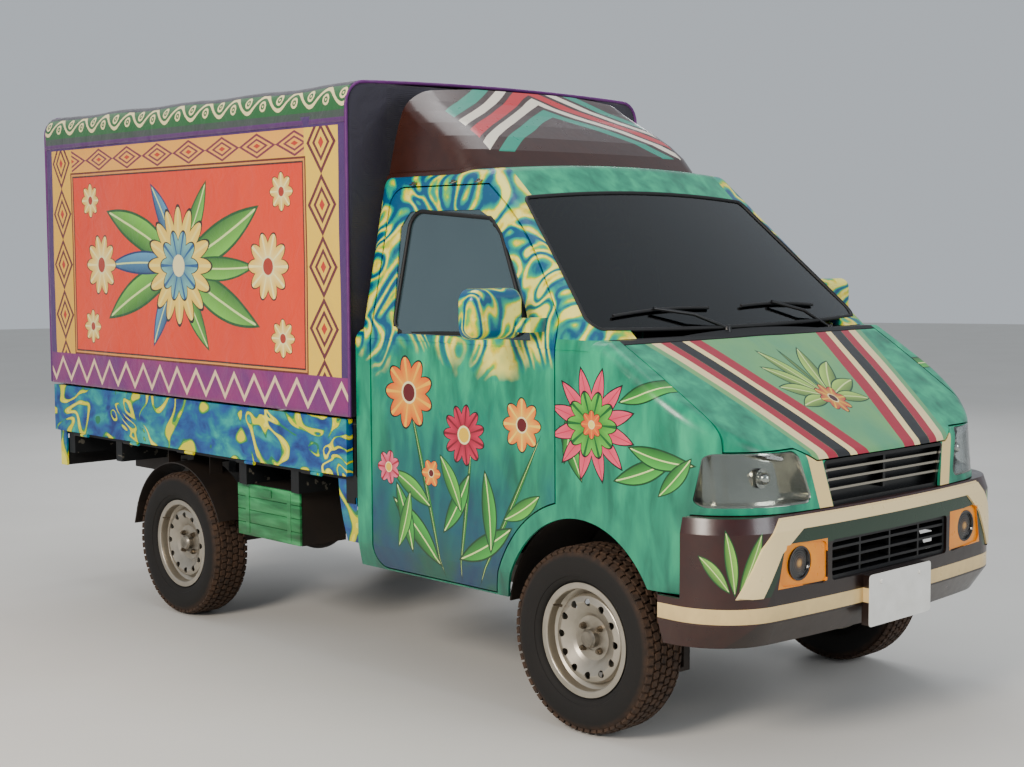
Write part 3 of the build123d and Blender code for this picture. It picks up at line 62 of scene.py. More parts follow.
# Studio: pale air, a wide soft light on the side that the photograph's sun lit, a fill in
# front, one overhead and one behind.
world = bpy.data.worlds.new("studio_air")
bpy.context.scene.world = world
world.use_nodes = True
air = world.node_tree.nodes["Background"].inputs
air["Color"].default_value = (0.80, 0.86, 0.93, 1)
air["Strength"].default_value = 0.62
light_table = [
    # name, place, aim, width, power, colour
    ("key", (-7.0, -2.5, 4.2), (-0.6, -0.2, 0.9), 2.6, 560, (1.0, 0.91, 0.80)),
    ("front_fill", (1.5, -8.0, 3.4), (0.0, -1.0, 0.9), 3.6, 210, (0.93, 0.96, 1.0)),
    ("overhead", (0.5, 1.0, 6.5), (0.0, 0.0, 0.8), 4.5, 170, (1.0, 1.0, 1.0)),
    ("back_fill", (5.5, 5.5, 4.0), (0.0, 0.5, 1.0), 3.6, 220, (0.95, 0.97, 1.0)),
]
for name, place, aim, width, power, colour in light_table:
    lamp = bpy.data.lights.new(name, "AREA")
    lamp.shape = "DISK"
    lamp.size = width
    lamp.energy = power
    lamp.color = colour
    holder = bpy.data.objects.new(name, lamp)
    holder.location = place
    holder.rotation_euler = (Vector(aim) - Vector(place)).to_track_quat("-Z", "Y").to_euler()
    bpy.context.scene.collection.objects.link(holder)


# Floor: a round sheet of pale board, faintly mottled and so wide that its edge is out of
# view. It belongs to the studio and not to the truck.
def pigment(code):
    """Colour of a paint from its web code, mixed deeper because the studio's light pales it."""
    deepening = 3.0
    return (*[(int(code[i:i + 2], 16) / 255) ** deepening for i in (0, 2, 4)], 1)


class Varying:
    """A number, place or colour that varies over a piece. A sum or comparison adds a node."""

    def __init__(self, finish, socket):
        self.finish = finish
        self.socket = socket

    def step(self, operation, *others):
        return self.finish.node("Math", dict(enumerate((self, *others))), operation=operation)

    def __add__(self, other):
        return self.step("ADD", other)

    def __sub__(self, other):
        return self.step("SUBTRACT", other)

    def __rsub__(self, other):
        return self * -1 + other

    def __mul__(self, other):
        return self.step("MULTIPLY", other)

    def __lt__(self, other):
        return self.step("LESS_THAN", other)

    def __gt__(self, other):
        return self.step("GREATER_THAN", other)

    def __abs__(self):
        return self.step("ABSOLUTE")

    def near(self, middle, half):
        return self.step("COMPARE", middle, half)

    def held(self, low, high):
        return self.step("MAXIMUM", low).step("MINIMUM", high)

    def waves(self, rate):
        return (self * rate).step("SINE")


class Finish:
    """A finish made of nodes. Its colour is what is painted so far, its panel where motifs lie."""

    def __init__(self, name, roughness=0.5, metallic=0.0, coat=0.0):
        self.material = bpy.data.materials.new(name)
        self.material.use_nodes = True
        self.tree = self.material.node_tree
        self.set("Roughness", roughness)
        self.set("Metallic", metallic)
        self.set("Coat Weight", coat)
        self.place = self.node("TexCoord", {}, gives="Object")
        self.x, self.y, self.z = self.parts(self.place)
        self.colour = None
        self.panel = None

    def feed(self, socket, value):
        if isinstance(value, Varying):
            self.tree.links.new(value.socket, socket)
        else:
            socket.default_value = pigment(value) if isinstance(value, str) else value

    def set(self, name, value):
        self.feed(self.tree.nodes["Principled BSDF"].inputs[name], value)

    def node(self, kind, feeds, gives=0, **settings):
        made = self.tree.nodes.new("ShaderNode" + kind)
        for setting, choice in settings.items():
            setattr(made, setting, choice)
        for socket, value in feeds.items():
            self.feed(made.inputs[socket], value)
        return Varying(self, made.outputs[gives])

    def parts(self, vector):
        split = self.node("SeparateXYZ", {0: vector}).socket.node
        return [Varying(self, output) for output in split.outputs]

    def flat(self, across, up):
        return self.node("CombineXYZ", {0: across, 1: up})

    def length(self, across, up):
        return self.node("VectorMath", {0: self.flat(across, up)}, gives="Value", operation="LENGTH")

    def stretched(self, x, y, z):
        return self.node("VectorMath", {0: self.place, 1: (x, y, z)}, operation="MULTIPLY")

    def cloud(self, scale, detail=3.0, distortion=0.0, at=None):
        feeds = {"Vector": at or self.place, "Scale": scale, "Detail": detail, "Distortion": distortion}
        return self.node("TexNoise", feeds)

    def pushed(self, scale, push, stretch):
        """The stretched place, pushed about by a slow cloud, for lines that curl."""
        drift = self.node("TexNoise", {"Vector": self.place, "Scale": scale, "Detail": 0.0}, gives=1)
        feeds = {0: drift, 1: (push, push, push), 2: self.stretched(*stretch)}
        return self.node("VectorMath", feeds, operation="MULTIPLY_ADD")

    def mix(self, share, under, over):
        return self.node("Mix", {0: share, 6: under, 7: over}, gives=2, data_type="RGBA")

    def mottle(self, scale, detail, under, over, distortion=0.0):
        """Two colours, clouded into each other."""
        return self.mix(self.cloud(scale, detail, distortion), under, over)

    def lay(self, share, over):
        """Lays a colour over what is painted so far, where the share is one."""
        self.colour = self.mix(share, self.colour, over)

    def ramp(self, value, *stops):
        made = self.node("ValToRGB", {0: value})
        bar = made.socket.node.color_ramp.elements
        while len(bar) < len(stops):
            bar.new(0.5)
        for mark, (place, code) in zip(bar, stops):
            mark.position = place
            mark.color = pigment(code)
        return made

    def paint(self, colour):
        self.set("Base Color", colour)

    def bump(self, height, strength, distance):
        self.set("Normal", self.node("Bump", {"Height": height, "Strength": strength, "Distance": distance}))


def cast(name, shape, finish):
    """Makes an object with that finish from a bmesh, in place."""
    data = bpy.data.meshes.new(name)
    shape.to_mesh(data)
    shape.free()
    data.materials.append(finish.material)
    piece = bpy.data.objects.new(name, data)
    bpy.context.scene.collection.objects.link(piece)
    return piece


floor_shape = bmesh.new()
bmesh.ops.create_circle(floor_shape, cap_ends=True, segments=96, radius=26)
floor = Finish("pale_floor", roughness=0.8)
floor.paint(floor.mottle(1.4, 3, "D6D4CF", "DEDCD8"))
cast("studio_floor", floor_shape, floor)


# Tyres: 165 mm radial van tyres with staggered tread blocks, moulded in black rubber and
# brown with road dust over the tread. Each stands for its plain CAD tyre and turns with it.
front_axle_y = -1.338


def behind(millimetres):
    """Row y of a point that lies that far behind the front axle."""
    return millimetres / 1000 + front_axle_y


def new_piece(name, shape, body, finish, stands_for=(), sharp=35):
    """Makes a finished piece from a bmesh and hangs it on its body."""
    piece = cast(name, shape, finish)
    piece.data.shade_smooth()
    piece.data.set_sharp_from_angle(angle=math.radians(sharp))
    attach(piece, body)
    if stands_for:
        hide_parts(*stands_for)
    return piece


def block(shape, spot, size, rounding, segments=2):
    """Adds a box of that size at the spot, with its edges rounded."""
    corners = bmesh.ops.create_cube(shape, size=1, matrix=spot @ Matrix.Diagonal((*size, 1)))["verts"]
    if rounding:
        edges = list({edge for corner in corners for edge in corner.link_edges})
        bmesh.ops.bevel(shape, geom=edges, offset=rounding, affect="EDGES", segments=segments, profile=0.5,
                        material=-1)


def at_wheel(shape, side, station_y, turned=False):
    """A copy of a shape made round the origin, at the middle of a wheel, turned round if asked."""
    copy = shape.copy()
    if turned:
        bmesh.ops.rotate(copy, verts=copy.verts, cent=(0, 0, 0), matrix=Matrix.Rotation(math.pi, 3, "Z"))
    bmesh.ops.translate(copy, verts=copy.verts, vec=(side * wheel_x, behind(station_y), wheel_centre_z))
    return copy


wheel_centre_z = 0.298
wheel_x = 0.655
rear_axle_behind = 2350
wheel_table = [
    # station, side, millimetres behind the front axle
    ("front_right", -1, 0), ("front_left", 1, 0),
    ("rear_right", -1, rear_axle_behind), ("rear_left", 1, rear_axle_behind),
]
tyre_half_section = [
    # across, radius
    (0.0, 0.2900), (0.050, 0.2900), (0.064, 0.2865), (0.0735, 0.2770), (0.0795, 0.2620),
    (0.0822, 0.2450), (0.0815, 0.2280), (0.0790, 0.2140), (0.0765, 0.2060), (0.0735, 0.2045),
    (0.0700, 0.1960), (0.0625, 0.1885), (0.0545, 0.1858), (0.0540, 0.1662), (0.0, 0.1657),
]
tread_rows = [
    # across, radius at the middle, tilt, width, length, turn on the tread, rounding
    (-0.0665, 0.2870, -0.42, 0.018, 0.0215, 0.0, 0),
    (-0.0415, 0.2926, 0.0, 0.022, 0.0225, 0.25, 0.0012),
    (-0.0135, 0.2928, 0.0, 0.021, 0.0225, -0.25, 0.0012),
    (0.0135, 0.2928, 0.0, 0.021, 0.0225, 0.25, 0.0012),
    (0.0415, 0.2926, 0.0, 0.022, 0.0225, -0.25, 0.0012),
    (0.0665, 0.2870, 0.42, 0.018, 0.0215, 0.0, 0),
]
tread_count = 62
tread_height = 0.0095
dust_starts, dust_fade = 0.262, 0.022

tyre = Finish("dusty_rubber", roughness=0.82)
dusting = tyre.node("Attribute", {}, gives="Fac", attribute_name="tread")
dust_share = dusting * (tyre.cloud(38, 6, 0.6) * 1.4 - 0.2)
tyre.paint(tyre.mix(dust_share, tyre.mottle(9, 4, "1D1A18", "2E2823"), "6E5642"))
tyre.bump(tyre.cloud(160, 4), 0.25, 0.002)

tyre_shape = bmesh.new()
section = [tyre_shape.verts.new((across, 0, radius)) for across, radius in tyre_half_section]
other_half = reversed(tyre_half_section[1:-1])
section += [tyre_shape.verts.new((-across, 0, radius)) for across, radius in other_half]
rim_loop = [tyre_shape.edges.new(ends) for ends in zip(section, section[1:] + section[:1])]
bmesh.ops.spin(tyre_shape, geom=section + rim_loop, cent=(0, 0, 0), axis=(1, 0, 0), angle=math.tau, steps=96,
               use_merge=True)
bmesh.ops.remove_doubles(tyre_shape, verts=tyre_shape.verts, dist=0.00005)
bmesh.ops.recalc_face_normals(tyre_shape, faces=tyre_shape.faces)
for row, (across, radius, tilt, width, length, turn, rounding) in enumerate(tread_rows):
    for index in range(tread_count):
        spot = (Matrix.Rotation((index + 0.5 * (row % 2)) * math.tau / tread_count, 4, "X")
                @ Matrix.Translation((across, 0, radius))
                @ Matrix.Rotation(tilt, 4, "Y") @ Matrix.Rotation(turn, 4, "Z"))
        block(tyre_shape, spot, (width, length, tread_height), rounding, segments=1)
dust_layer = tyre_shape.verts.layers.float.new("tread")
for vertex in tyre_shape.verts:
    radius = math.hypot(vertex.co.y, vertex.co.z)
    vertex[dust_layer] = min(1, max(0, (radius - dust_starts) / dust_fade))
for station, side, station_y in wheel_table:
    new_piece(f"dusty_tyre_{station}", at_wheel(tyre_shape, side, station_y), f"wheel_{station}_body",
              tyre, [f"tyre_{station}"])
tyre_shape.free()


# Wheels: pressed 13 inch steel rims in silver-cream paint, dulled by brake dust round the
# hub and in the well. Four nuts hold each, and a valve in the same bright steel stands by the lip.
def put_on(finish, *names):
    """Gives CAD nodes a finish in place of their plain one."""
    for name in names:
        for slot in nodes[name].material_slots:
            slot.material = finish.material


def peg(shape, spot, foot_radius, top_radius, length, sides=6):
    """Adds a capped rod or cone that stands along the spot's z axis."""
    bmesh.ops.create_cone(shape, cap_ends=True, segments=sides, radius1=foot_radius, radius2=top_radius,
                          depth=length, matrix=spot)


wheel = Finish("silver_wheel_paint", roughness=0.36, metallic=0.8)
above_hub = wheel.z - wheel_centre_z
front_hub, rear_hub = (wheel.length(wheel.y - behind(station_y), above_hub)
                       for station_y in (0, rear_axle_behind))
hub_distance = front_hub.step("MINIMUM", rear_hub)
brake_dust = (hub_distance * -9.0 + 1.15).step("MAXIMUM", 0.12) * wheel.cloud(26, 5, 0.4)
wheel.paint(wheel.mix(brake_dust, wheel.mottle(14, 3, "B5AEA2", "CFCABF"), "3C3128"))
wheel.bump(wheel.cloud(90, 3), 0.08, 0.001)
put_on(wheel, *[f"rim_{station}" for station, side, station_y in wheel_table])

nut = Finish("bright_nut_steel", roughness=0.35, metallic=0.9)
nut.paint(nut.mottle(60, 4, "A39A8C", "5A4C3E"))
nut_count = 4
nut_face_x, nut_circle = 0.027, 0.050
valve_x, valve_circle, valve_turn, valve_lean = 0.058, 0.149, 0.9, 0.35
nut_shape = bmesh.new()
for index in range(nut_count):
    spot = (Matrix.Rotation((index + 0.5) * math.tau / nut_count, 4, "X")
            @ Matrix.Translation((nut_face_x, 0, nut_circle)) @ Matrix.Rotation(math.pi / 2, 4, "Y"))
    peg(nut_shape, spot, 0.0115, 0.0095, 0.015)
    peg(nut_shape, spot, 0.0062, 0.0055, 0.024, sides=12)
valve_spot = (Matrix.Rotation(valve_turn, 4, "X") @ Matrix.Translation((valve_x, 0, valve_circle))
              @ Matrix.Rotation(math.pi / 2 - valve_lean, 4, "Y"))
peg(nut_shape, valve_spot, 0.0048, 0.0030, 0.032, sides=14)
bmesh.ops.recalc_face_normals(nut_shape, faces=nut_shape.faces)
for station, side, station_y in wheel_table:
    new_piece(f"wheel_nuts_{station}", at_wheel(nut_shape, side, station_y, turned=side < 0),
              f"wheel_{station}_body", nut)
nut_shape.free()

# Underbody: the ladder frame, suspension, axle and springs are hot-pressed steel in black
# chassis paint under a film of dried mud, thicker low down; the engine is bare alloy.
chassis = Finish("muddy_chassis_black", roughness=0.62)
mud = chassis.cloud(7, 6, 0.5) * (chassis.z * -0.9 + 0.95)
chassis.paint(chassis.mix(mud, "16171A", "5B4A39"))
chassis.bump(chassis.cloud(120, 4), 0.3, 0.0015)
put_on(chassis, "knuckle_right", "knuckle_left", "front_suspension", "rear_axle", "leaf_springs",
       "ladder_frame", "propshaft", "fuel_tank", "toolbox", "wheelhouses", "rear_mudguards")
alloy = Finish("oily_alloy", roughness=0.45, metallic=0.7)
alloy.paint(alloy.mottle(12, 6, "8A8781", "2B241E", 1.0))
alloy.bump(alloy.cloud(70, 5), 0.4, 0.002)
put_on(alloy, "engine")
exhaust = Finish("heat_stained_steel", roughness=0.5, metallic=0.8)
exhaust.paint(exhaust.ramp(
    exhaust.cloud(10, 6, 1.5), (0.35, "6E655C"), (0.5, "7A5A44"), (0.62, "4A3A32")))
exhaust.bump(exhaust.cloud(80, 4), 0.3, 0.001)
put_on(exhaust, "exhaust")
cab_floor = Finish("cab_floor_black", roughness=0.75)
cab_floor.paint(cab_floor.mottle(9, 5, "1B1C1E", "2C2B29"))
cab_floor.bump(cab_floor.cloud(260, 2), 0.4, 0.0008)
put_on(cab_floor, "floor_pan")

# Black mouldings: the cowl, grilles, dashboard and steering wheel are grained plastic,
# paler and drier where the sun has bleached them. The three grille bars are bright.
trim = Finish("grained_black_plastic", roughness=0.48)
trim.paint(trim.mottle(6, 5, "0F1012", "26272A"))
trim.bump(trim.node("TexVoronoi", {"Vector": trim.place, "Scale": 420.0}), 0.25, 0.0006)
put_on(trim, "cowl", "bumper_grille", "dashboard", "steering_wheel")
grille = Finish("black_grille_with_bright_bars", roughness=0.3)
bar_half_height = 0.0036
low_bar, middle_bar, high_bar = (grille.z.near(level, bar_half_height) for level in (0.795, 0.825, 0.855))
bar_share = low_bar.step("MAXIMUM", middle_bar).step("MAXIMUM", high_bar) * (grille.y < behind(-600))
grille.paint(grille.mix(bar_share, "121315", "B9B4A8"))
grille.set("Metallic", bar_share * 0.75)
grille.bump(grille.cloud(200, 3), 0.1, 0.0006)
put_on(grille, "upper_grille")


# Cab paint: brushed on by hand over the whole steel cab, short curling strokes of yellow,
# cream and blue on turquoise round the windows and roof, and plainer turquoise below.
def curling_strokes(finish):
    """Colour of the curling strokes that cover the pillars, roof edge and mirrors."""
    folds = finish.cloud(4.4, 0.0, 0.5, finish.pushed(3.4, 0.9, (1, 1, 0.8)))
    wave = folds.waves(27.0) * 0.5 + 0.5
    wave = (finish.cloud(34, 3, 0.3) - 0.5) * 0.6 + wave
    wave = (finish.cloud(5, 1) - 0.5) * 0.7 + wave
    return finish.ramp(wave, (0.1, "0C6A8E"), (0.3, "159A96"), (0.55, "34B494"), (0.72, "8CC85A"),
                       (0.86, "E8D43C"), (1.0, "F4EC8A"))


def brushed_turquoise(finish):
    """Turquoise ground with long streaks of the brush, deeper low down."""
    streaks = finish.cloud(16, 4, 0.4, finish.stretched(1, 1, 0.3))
    ground = finish.ramp(streaks, (0.3, "07836C"), (0.5, "10A283"), (0.7, "2DBE94"))
    low = (finish.z * -1.7 + 1.5).held(0.0, 0.85) * finish.cloud(4, 4)
    return finish.mix(low, ground, "084E5C")


def strokes_above(finish, low, high):
    """Turquoise that gives way to curling strokes between two heights."""
    share = finish.node("MapRange", {0: finish.cloud(5, 3) * 0.42 + finish.z, 1: low, 2: high})
    return finish.mix(share, brushed_turquoise(finish), curling_strokes(finish))


def inner_face(finish, way):
    """Whether a panel's face looks into the cab: way is side for doors, or down for the bonnet."""
    across, _, up = finish.parts(finish.node("TexCoord", {}, gives="Normal"))
    if way == "side":
        return finish.x.step("SIGN") * across < -0.3
    return up < -0.2


def close_paint(finish, roughness=0.33):
    """Ends a body paint: road dust low down, brush ridges and a thin clear coat."""
    dirt = (finish.z * -2.6 + 1.5).held(0.02, 0.36) * finish.cloud(24, 6, 0.6)
    finish.paint(finish.mix(dirt, finish.colour, "5A4836"))
    finish.set("Roughness", finish.cloud(30, 4) * 0.22 + (roughness - 0.1))
    finish.set("Coat Weight", 0.3)
    finish.set("Coat Roughness", 0.18)
    finish.bump(finish.cloud(55, 4, 0.3, finish.stretched(1, 1, 0.35)), 0.12, 0.0014)


cab = Finish("hand_painted_cab")
cab.colour = strokes_above(cab, 1.32, 1.42)
roof_front = (cab.y < behind(700)) * (cab.z > 1.70) * (abs(cab.x) < 0.53)
cab.lay(roof_front, brushed_turquoise(cab))
close_paint(cab)
put_on(cab, "cab_roof", "cab_rear_wall", "cab_side_right", "cab_side_left")
mirror = Finish("hand_painted_mirror")
mirror.colour = curling_strokes(mirror)
close_paint(mirror)
put_on(mirror, "mirror_right", "mirror_left")


# Painted plants and rosettes: leaves with a pale midrib, round blossoms and pointed rays,
# each drawn by one call in the plane of its panel, in metres.
def in_motif(finish, centre, turn, size):
    """A point of the panel in a motif's own frame."""
    feeds = {"Vector": finish.panel, "Location": (*centre, 0), "Rotation": (0, 0, math.radians(turn)),
             "Scale": (*size, 1)}
    return finish.parts(finish.node("Mapping", feeds, vector_type="TEXTURE"))


def leaf(finish, centre, turn, length, half_width, dark, light):
    """Paints a pointed leaf that starts at centre."""
    along, across, _ = in_motif(finish, centre, turn, (length, half_width))
    swell = along * 4.0 * (1.0 - along)
    off = abs(swell * -0.22 + across)
    shade = finish.mix(across * 0.5 + 0.5, dark, light)
    shade = finish.mix(off < 0.07, shade, "DCEBA8")
    shade = finish.mix(abs(off - swell) < 0.16, shade, dark)
    finish.lay(off < swell, shade)


def blossom(finish, centre, radius, petals, heart, inner, outer, pointed=False):
    """Paints a round blossom, or a rosette with pointed rays."""
    across, up, _ = in_motif(finish, centre, 0, (radius, radius))
    reach = finish.length(across, up)
    turn = up.step("ARCTAN2", across) * (petals / 2)
    if pointed:
        lobe = (turn * (2 / math.pi)).step("PINGPONG", 1.0)
        edge = lobe * 0.45 + 0.55
    else:
        lobe = abs(turn.step("COSINE"))
        edge = lobe * 0.3 + 0.7
    shade = finish.mix(reach.step("DIVIDE", edge), inner, outer)
    shade = finish.mix(1.0 - lobe < 0.035, shade, inner)
    shade = finish.mix(abs(reach - edge) < 0.05, shade, "2A1C20")
    shade = finish.mix(reach < 0.27, shade, heart)
    shade = finish.mix(reach.near(0.27, 0.03), shade, "F0E7B8")
    finish.lay(reach < edge, shade)


# Doors: painted as the cab round the window, with garden plants in orange, crimson and
# green on a ground that darkens to blue at the sill. The pattern is the same on both.
door = Finish("door_with_painted_plants")
door.panel = door.flat(door.y, door.z)
door.colour = strokes_above(door, 1.33, 1.43)
sill_height = door.cloud(3.2, 3) * 0.5 + door.z
door.lay(
    door.node("MapRange", {0: sill_height, 1: 1.38, 2: 0.72, 4: 0.92}),
    door.ramp(door.cloud(3.0, 3, 0.8), (0.38, "0A3A74"), (0.5, "0A5A7A"), (0.62, "0C6E62")))
stem, broad, young = ("0E4A2C", "3E9A4A"), ("0F5A34", "5CB85A"), ("12663A", "7CC85E")
door_leaves = [
    # behind the axle, up, turn, length, half width, dark and light green
    (640, 400, 74, 0.66, 0.011, stem), (560, 400, 98, 0.50, 0.010, stem),
    (470, 400, 120, 0.62, 0.011, stem), (650, 440, 40, 0.34, 0.042, broad),
    (640, 560, 122, 0.26, 0.036, broad), (700, 640, 28, 0.24, 0.034, young),
    (560, 480, 152, 0.30, 0.040, broad), (545, 640, 60, 0.22, 0.032, young),
    (400, 520, 84, 0.28, 0.036, broad), (340, 640, 150, 0.20, 0.030, young),
    (800, 470, 70, 0.26, 0.036, broad), (880, 480, 108, 0.22, 0.030, young),
]
for along, up, turn, length, half_width, greens in door_leaves:
    leaf(door, (behind(along), up / 1000), turn, length, half_width, *greens)
door_blossoms = [
    # behind the axle, up, radius, petals, heart, inner, outer
    (815, 1030, 0.130, 9, "7A1F2B", "F6C24A", "E8762B"),
    (530, 905, 0.105, 11, "E9C54A", "8E1F3A", "D8446A"),
    (250, 960, 0.090, 8, "7A1F2B", "F6D56A", "EE8A34"),
    (930, 760, 0.062, 7, "E9C54A", "B42A4C", "F08AA0"),
    (700, 760, 0.050, 6, "7A1F2B", "F6C24A", "E8762B"),
]
for along, up, radius, petals, heart, inner, outer in door_blossoms:
    blossom(door, (behind(along), up / 1000), radius, petals, heart, inner, outer)
door.lay(inner_face(door, "side"), "2B2C30")
close_paint(door)
put_on(door, "door_right", "door_left")

# Front fenders: turquoise with one large rosette of pink rays above the wheel, a ring of
# green petals inside it, and a spray of leaves that runs towards the headlamp.
fender = Finish("fender_with_rosette")
fender.panel = fender.flat(fender.y, fender.z)
fender.colour = brushed_turquoise(fender)
fender_leaves = [
    # behind the axle, up, turn, length, half width
    (-150, 820, 160, 0.26, 0.034), (-210, 930, 190, 0.24, 0.032), (-170, 1060, 158, 0.24, 0.030),
    (-20, 800, 60, 0.20, 0.030), (60, 850, 100, 0.22, 0.028), (-330, 790, 130, 0.16, 0.026),
]
for along, up, turn, length, half_width in fender_leaves:
    leaf(fender, (behind(along), up / 1000), turn, length, half_width, "0F5A34", "66C060")
rosette = (behind(-60), 0.985)
blossom(fender, rosette, 0.185, 12, "1E7A46", "C93A5E", "F0708A", pointed=True)
blossom(fender, rosette, 0.108, 10, "C2304E", "1C7A42", "7CCB5A")
blossom(fender, rosette, 0.046, 8, "F3E38A", "F0A04A", "E2603A")
fender.lay(inner_face(fender, "side"), "1A1B1D")
close_paint(fender)
put_on(fender, "front_fender_right", "front_fender_left")

# Bonnet: slanting bands of crimson, black and cream run back from the grille's corners to
# the windshield, and a palmette of leaves opens between them on blue-green.
bonnet = Finish("bonnet_with_palmette")
half_x = abs(bonnet.x)
bonnet.panel = bonnet.flat(half_x, bonnet.y)
bonnet.colour = bonnet.mix(
    bonnet.cloud(5, 4, 1.0, bonnet.stretched(1, 0.4, 1)), "2C9A8C", "9CC476")
palmette_leaves = [
    # across, turn, length, half width
    (-0.012, 90, 0.27, 0.030), (0.01, 66, 0.25, 0.032), (0.01, 42, 0.23, 0.032), (0.01, 18, 0.20, 0.030),
    (0.01, -8, 0.17, 0.026),
]
for across, turn, length, half_width in palmette_leaves:
    leaf(bonnet, (across, behind(-420)), turn, length, half_width, "1A5A3C", "B7D873")
blossom(bonnet, (0.0, behind(-425)), 0.062, 8, "5A1626", "E8C24A", "C23A4E")
slant = bonnet.y * -0.42 + half_x
wavy_slant = bonnet.cloud(3, 1) * 0.02 + slant
bonnet_bands = [
    # middle, half width, colour
    (0.965, 0.030, "B02A4A"), (1.010, 0.017, "F0DFAE"), (1.055, 0.029, "15161A"), (1.107, 0.022, "B02A4A"),
    (1.150, 0.021, "EBD9B0"),
]
for middle, half, code in bonnet_bands:
    bonnet.lay(wavy_slant.near(middle, half), code)
bonnet.lay(slant > 1.19, brushed_turquoise(bonnet))
bonnet.lay(inner_face(bonnet, "down"), "0C7A68")
close_paint(bonnet)
put_on(bonnet, "bonnet")

# Nose panel: turquoise strips beside the headlamps with a slanting cream band at each side
# of the grille, brushed over the joint.
nose = Finish("nose_with_cream_bands")
nose_lean = nose.z * -0.25 + abs(nose.x)
nose.colour = nose.mix(nose_lean.near(0.137, 0.030), brushed_turquoise(nose), "F0D9A2")
close_paint(nose)
put_on(nose, "nose_panel")


# Front bumper: one plastic moulding, painted dark brown with a cream arch over the intake,
# a green band inside it, orange squares round the fog lamps and a cream line below.
def arch_line(half_x, *lines):
    """Height of a broken line that falls away from the middle: start, height there, slope."""
    first, second, third = (half_x * slope + (height - slope * start) for start, height, slope in lines)
    return first.step("MINIMUM", second).step("MINIMUM", third)


bumper = Finish("brown_bumper_with_bands")
half_x = abs(bumper.x)
outer_arch = arch_line(half_x, (0.541, 0.738, 0.0), (0.541, 0.736, -1.053), (0.617, 0.655, -2.125))
inner_arch = arch_line(half_x, (0.450, 0.699, 0.0), (0.450, 0.699, -0.733), (0.540, 0.633, -1.707))
above_foot = bumper.z > 0.512
bumper.panel = bumper.flat(half_x + bumper.y, bumper.z)
bumper.colour = bumper.mottle(18, 4, "3A130A", "541F12", 0.3)
bumper_leaves = [
    # along, up, turn, length, half width
    (0.060, 0.520, 118, 0.21, 0.026), (0.075, 0.520, 78, 0.20, 0.026), (0.095, 0.530, 40, 0.17, 0.022),
    (0.045, 0.540, 150, 0.15, 0.02),
]
for along, up, turn, length, half_width in bumper_leaves:
    leaf(bumper, (along + behind(30), up), turn, length, half_width, "1F6A3C", "9FD06A")
bumper.lay((bumper.z < outer_arch) * above_foot, "F0DDB0")
bumper.lay((bumper.z < inner_arch) * above_foot, "0C4A30")
bumper.lay(bumper.z < inner_arch - 0.052, "2E150E")
lamp_side = bumper.z * -0.227 + 0.672
bezel = (half_x > 0.337) * (half_x < lamp_side) * bumper.z.near(0.594, 0.064)
bumper.lay(bezel, bumper.mottle(10, 3, "E8900A", "F6B41E"))
bumper.lay(bumper.z.near(0.4605, 0.0225), "EBD3A0")
close_paint(bumper, 0.3)
put_on(bumper, "front_bumper")


# Number plate: a pressed aluminium blank in white enamel with a raised rim, held to the
# bumper's bracket by two screws. It carries nothing.
def surface_of(name):
    """The surface of a CAD node, for setting a piece down on it."""
    shape = bmesh.new()
    shape.from_mesh(nodes[name].data)
    tree = BVHTree.FromBMesh(shape)
    shape.free()
    return tree


def rounded_pane(spot, width, height, corner, segments):
    """A flat pane with rounded corners, across the spot's x and y axes."""
    shape = bmesh.new()
    bmesh.ops.create_grid(shape, x_segments=1, y_segments=1, size=0.5,
                          matrix=spot @ Matrix.Diagonal((width, height, 1, 1)))
    bmesh.ops.bevel(shape, geom=shape.verts[:], offset=corner, affect="VERTICES", segments=segments,
                    profile=0.5, material=-1)
    return shape


plate = Finish("white_plate_enamel", roughness=0.35)
plate.paint(plate.mottle(18, 5, "DAD9D3", "F2F1EC"))
plate.bump(plate.cloud(60, 3), 0.08, 0.0008)
plate_middle_z = 0.444
bracket_y = surface_of("front_bumper").ray_cast(Vector((0, -3, plate_middle_z)), Vector((0, 1, 0)))[0].y
plate_y = bracket_y - 0.0022
facing_front = Matrix.Rotation(math.pi / 2, 4, "X")
plate_spot = Matrix.Translation((0, plate_y, plate_middle_z)) @ facing_front
plate_shape = rounded_pane(plate_spot, 0.340, 0.162, 0.012, 5)
plate_face = plate_shape.faces[:]
bmesh.ops.inset_region(plate_shape, faces=plate_face, thickness=0.004, depth=0.0, use_even_offset=True)
bmesh.ops.inset_region(plate_shape, faces=plate_face, thickness=0.002, depth=-0.0012, use_even_offset=True)
bmesh.ops.recalc_face_normals(plate_shape, faces=plate_shape.faces)
bmesh.ops.solidify(plate_shape, geom=plate_shape.faces[:], thickness=0.001)
for screw_x in (-0.105, 0.105):
    screw_spot = Matrix.Translation((screw_x, plate_y - 0.001, 0.498)) @ facing_front
    peg(plate_shape, screw_spot, 0.008, 0.007, 0.004)
new_piece("blank_number_plate", plate_shape, "truck", plate)

# Wind deflector: a glass-fibre shell on the cab roof, brown gel coat with hand-laid
# chevrons in teal, white and red across its slope.
deflector = Finish("brown_deflector_with_chevrons")
chevron = deflector.cloud(2.5, 1) * 0.05 + (abs(deflector.x) * 0.55 + deflector.y)
on_slope = (deflector.z > 1.86) * (abs(deflector.x) < 0.50)
deflector.colour = deflector.mottle(14, 4, "41241A", "5A3626", 0.3)
chevron_bands = [
    # middle, half width, colour
    (-0.44, 0.024, "25A08C"), (-0.37, 0.018, "E9E2D4"), (-0.31, 0.024, "C8283A"), (-0.245, 0.018, "E9E2D4"),
    (-0.18, 0.024, "25A08C"),
]
for middle, half, code in chevron_bands:
    deflector.lay(chevron.near(middle, half) * on_slope, code)
close_paint(deflector, 0.3)
put_on(deflector, "roof_fairing")


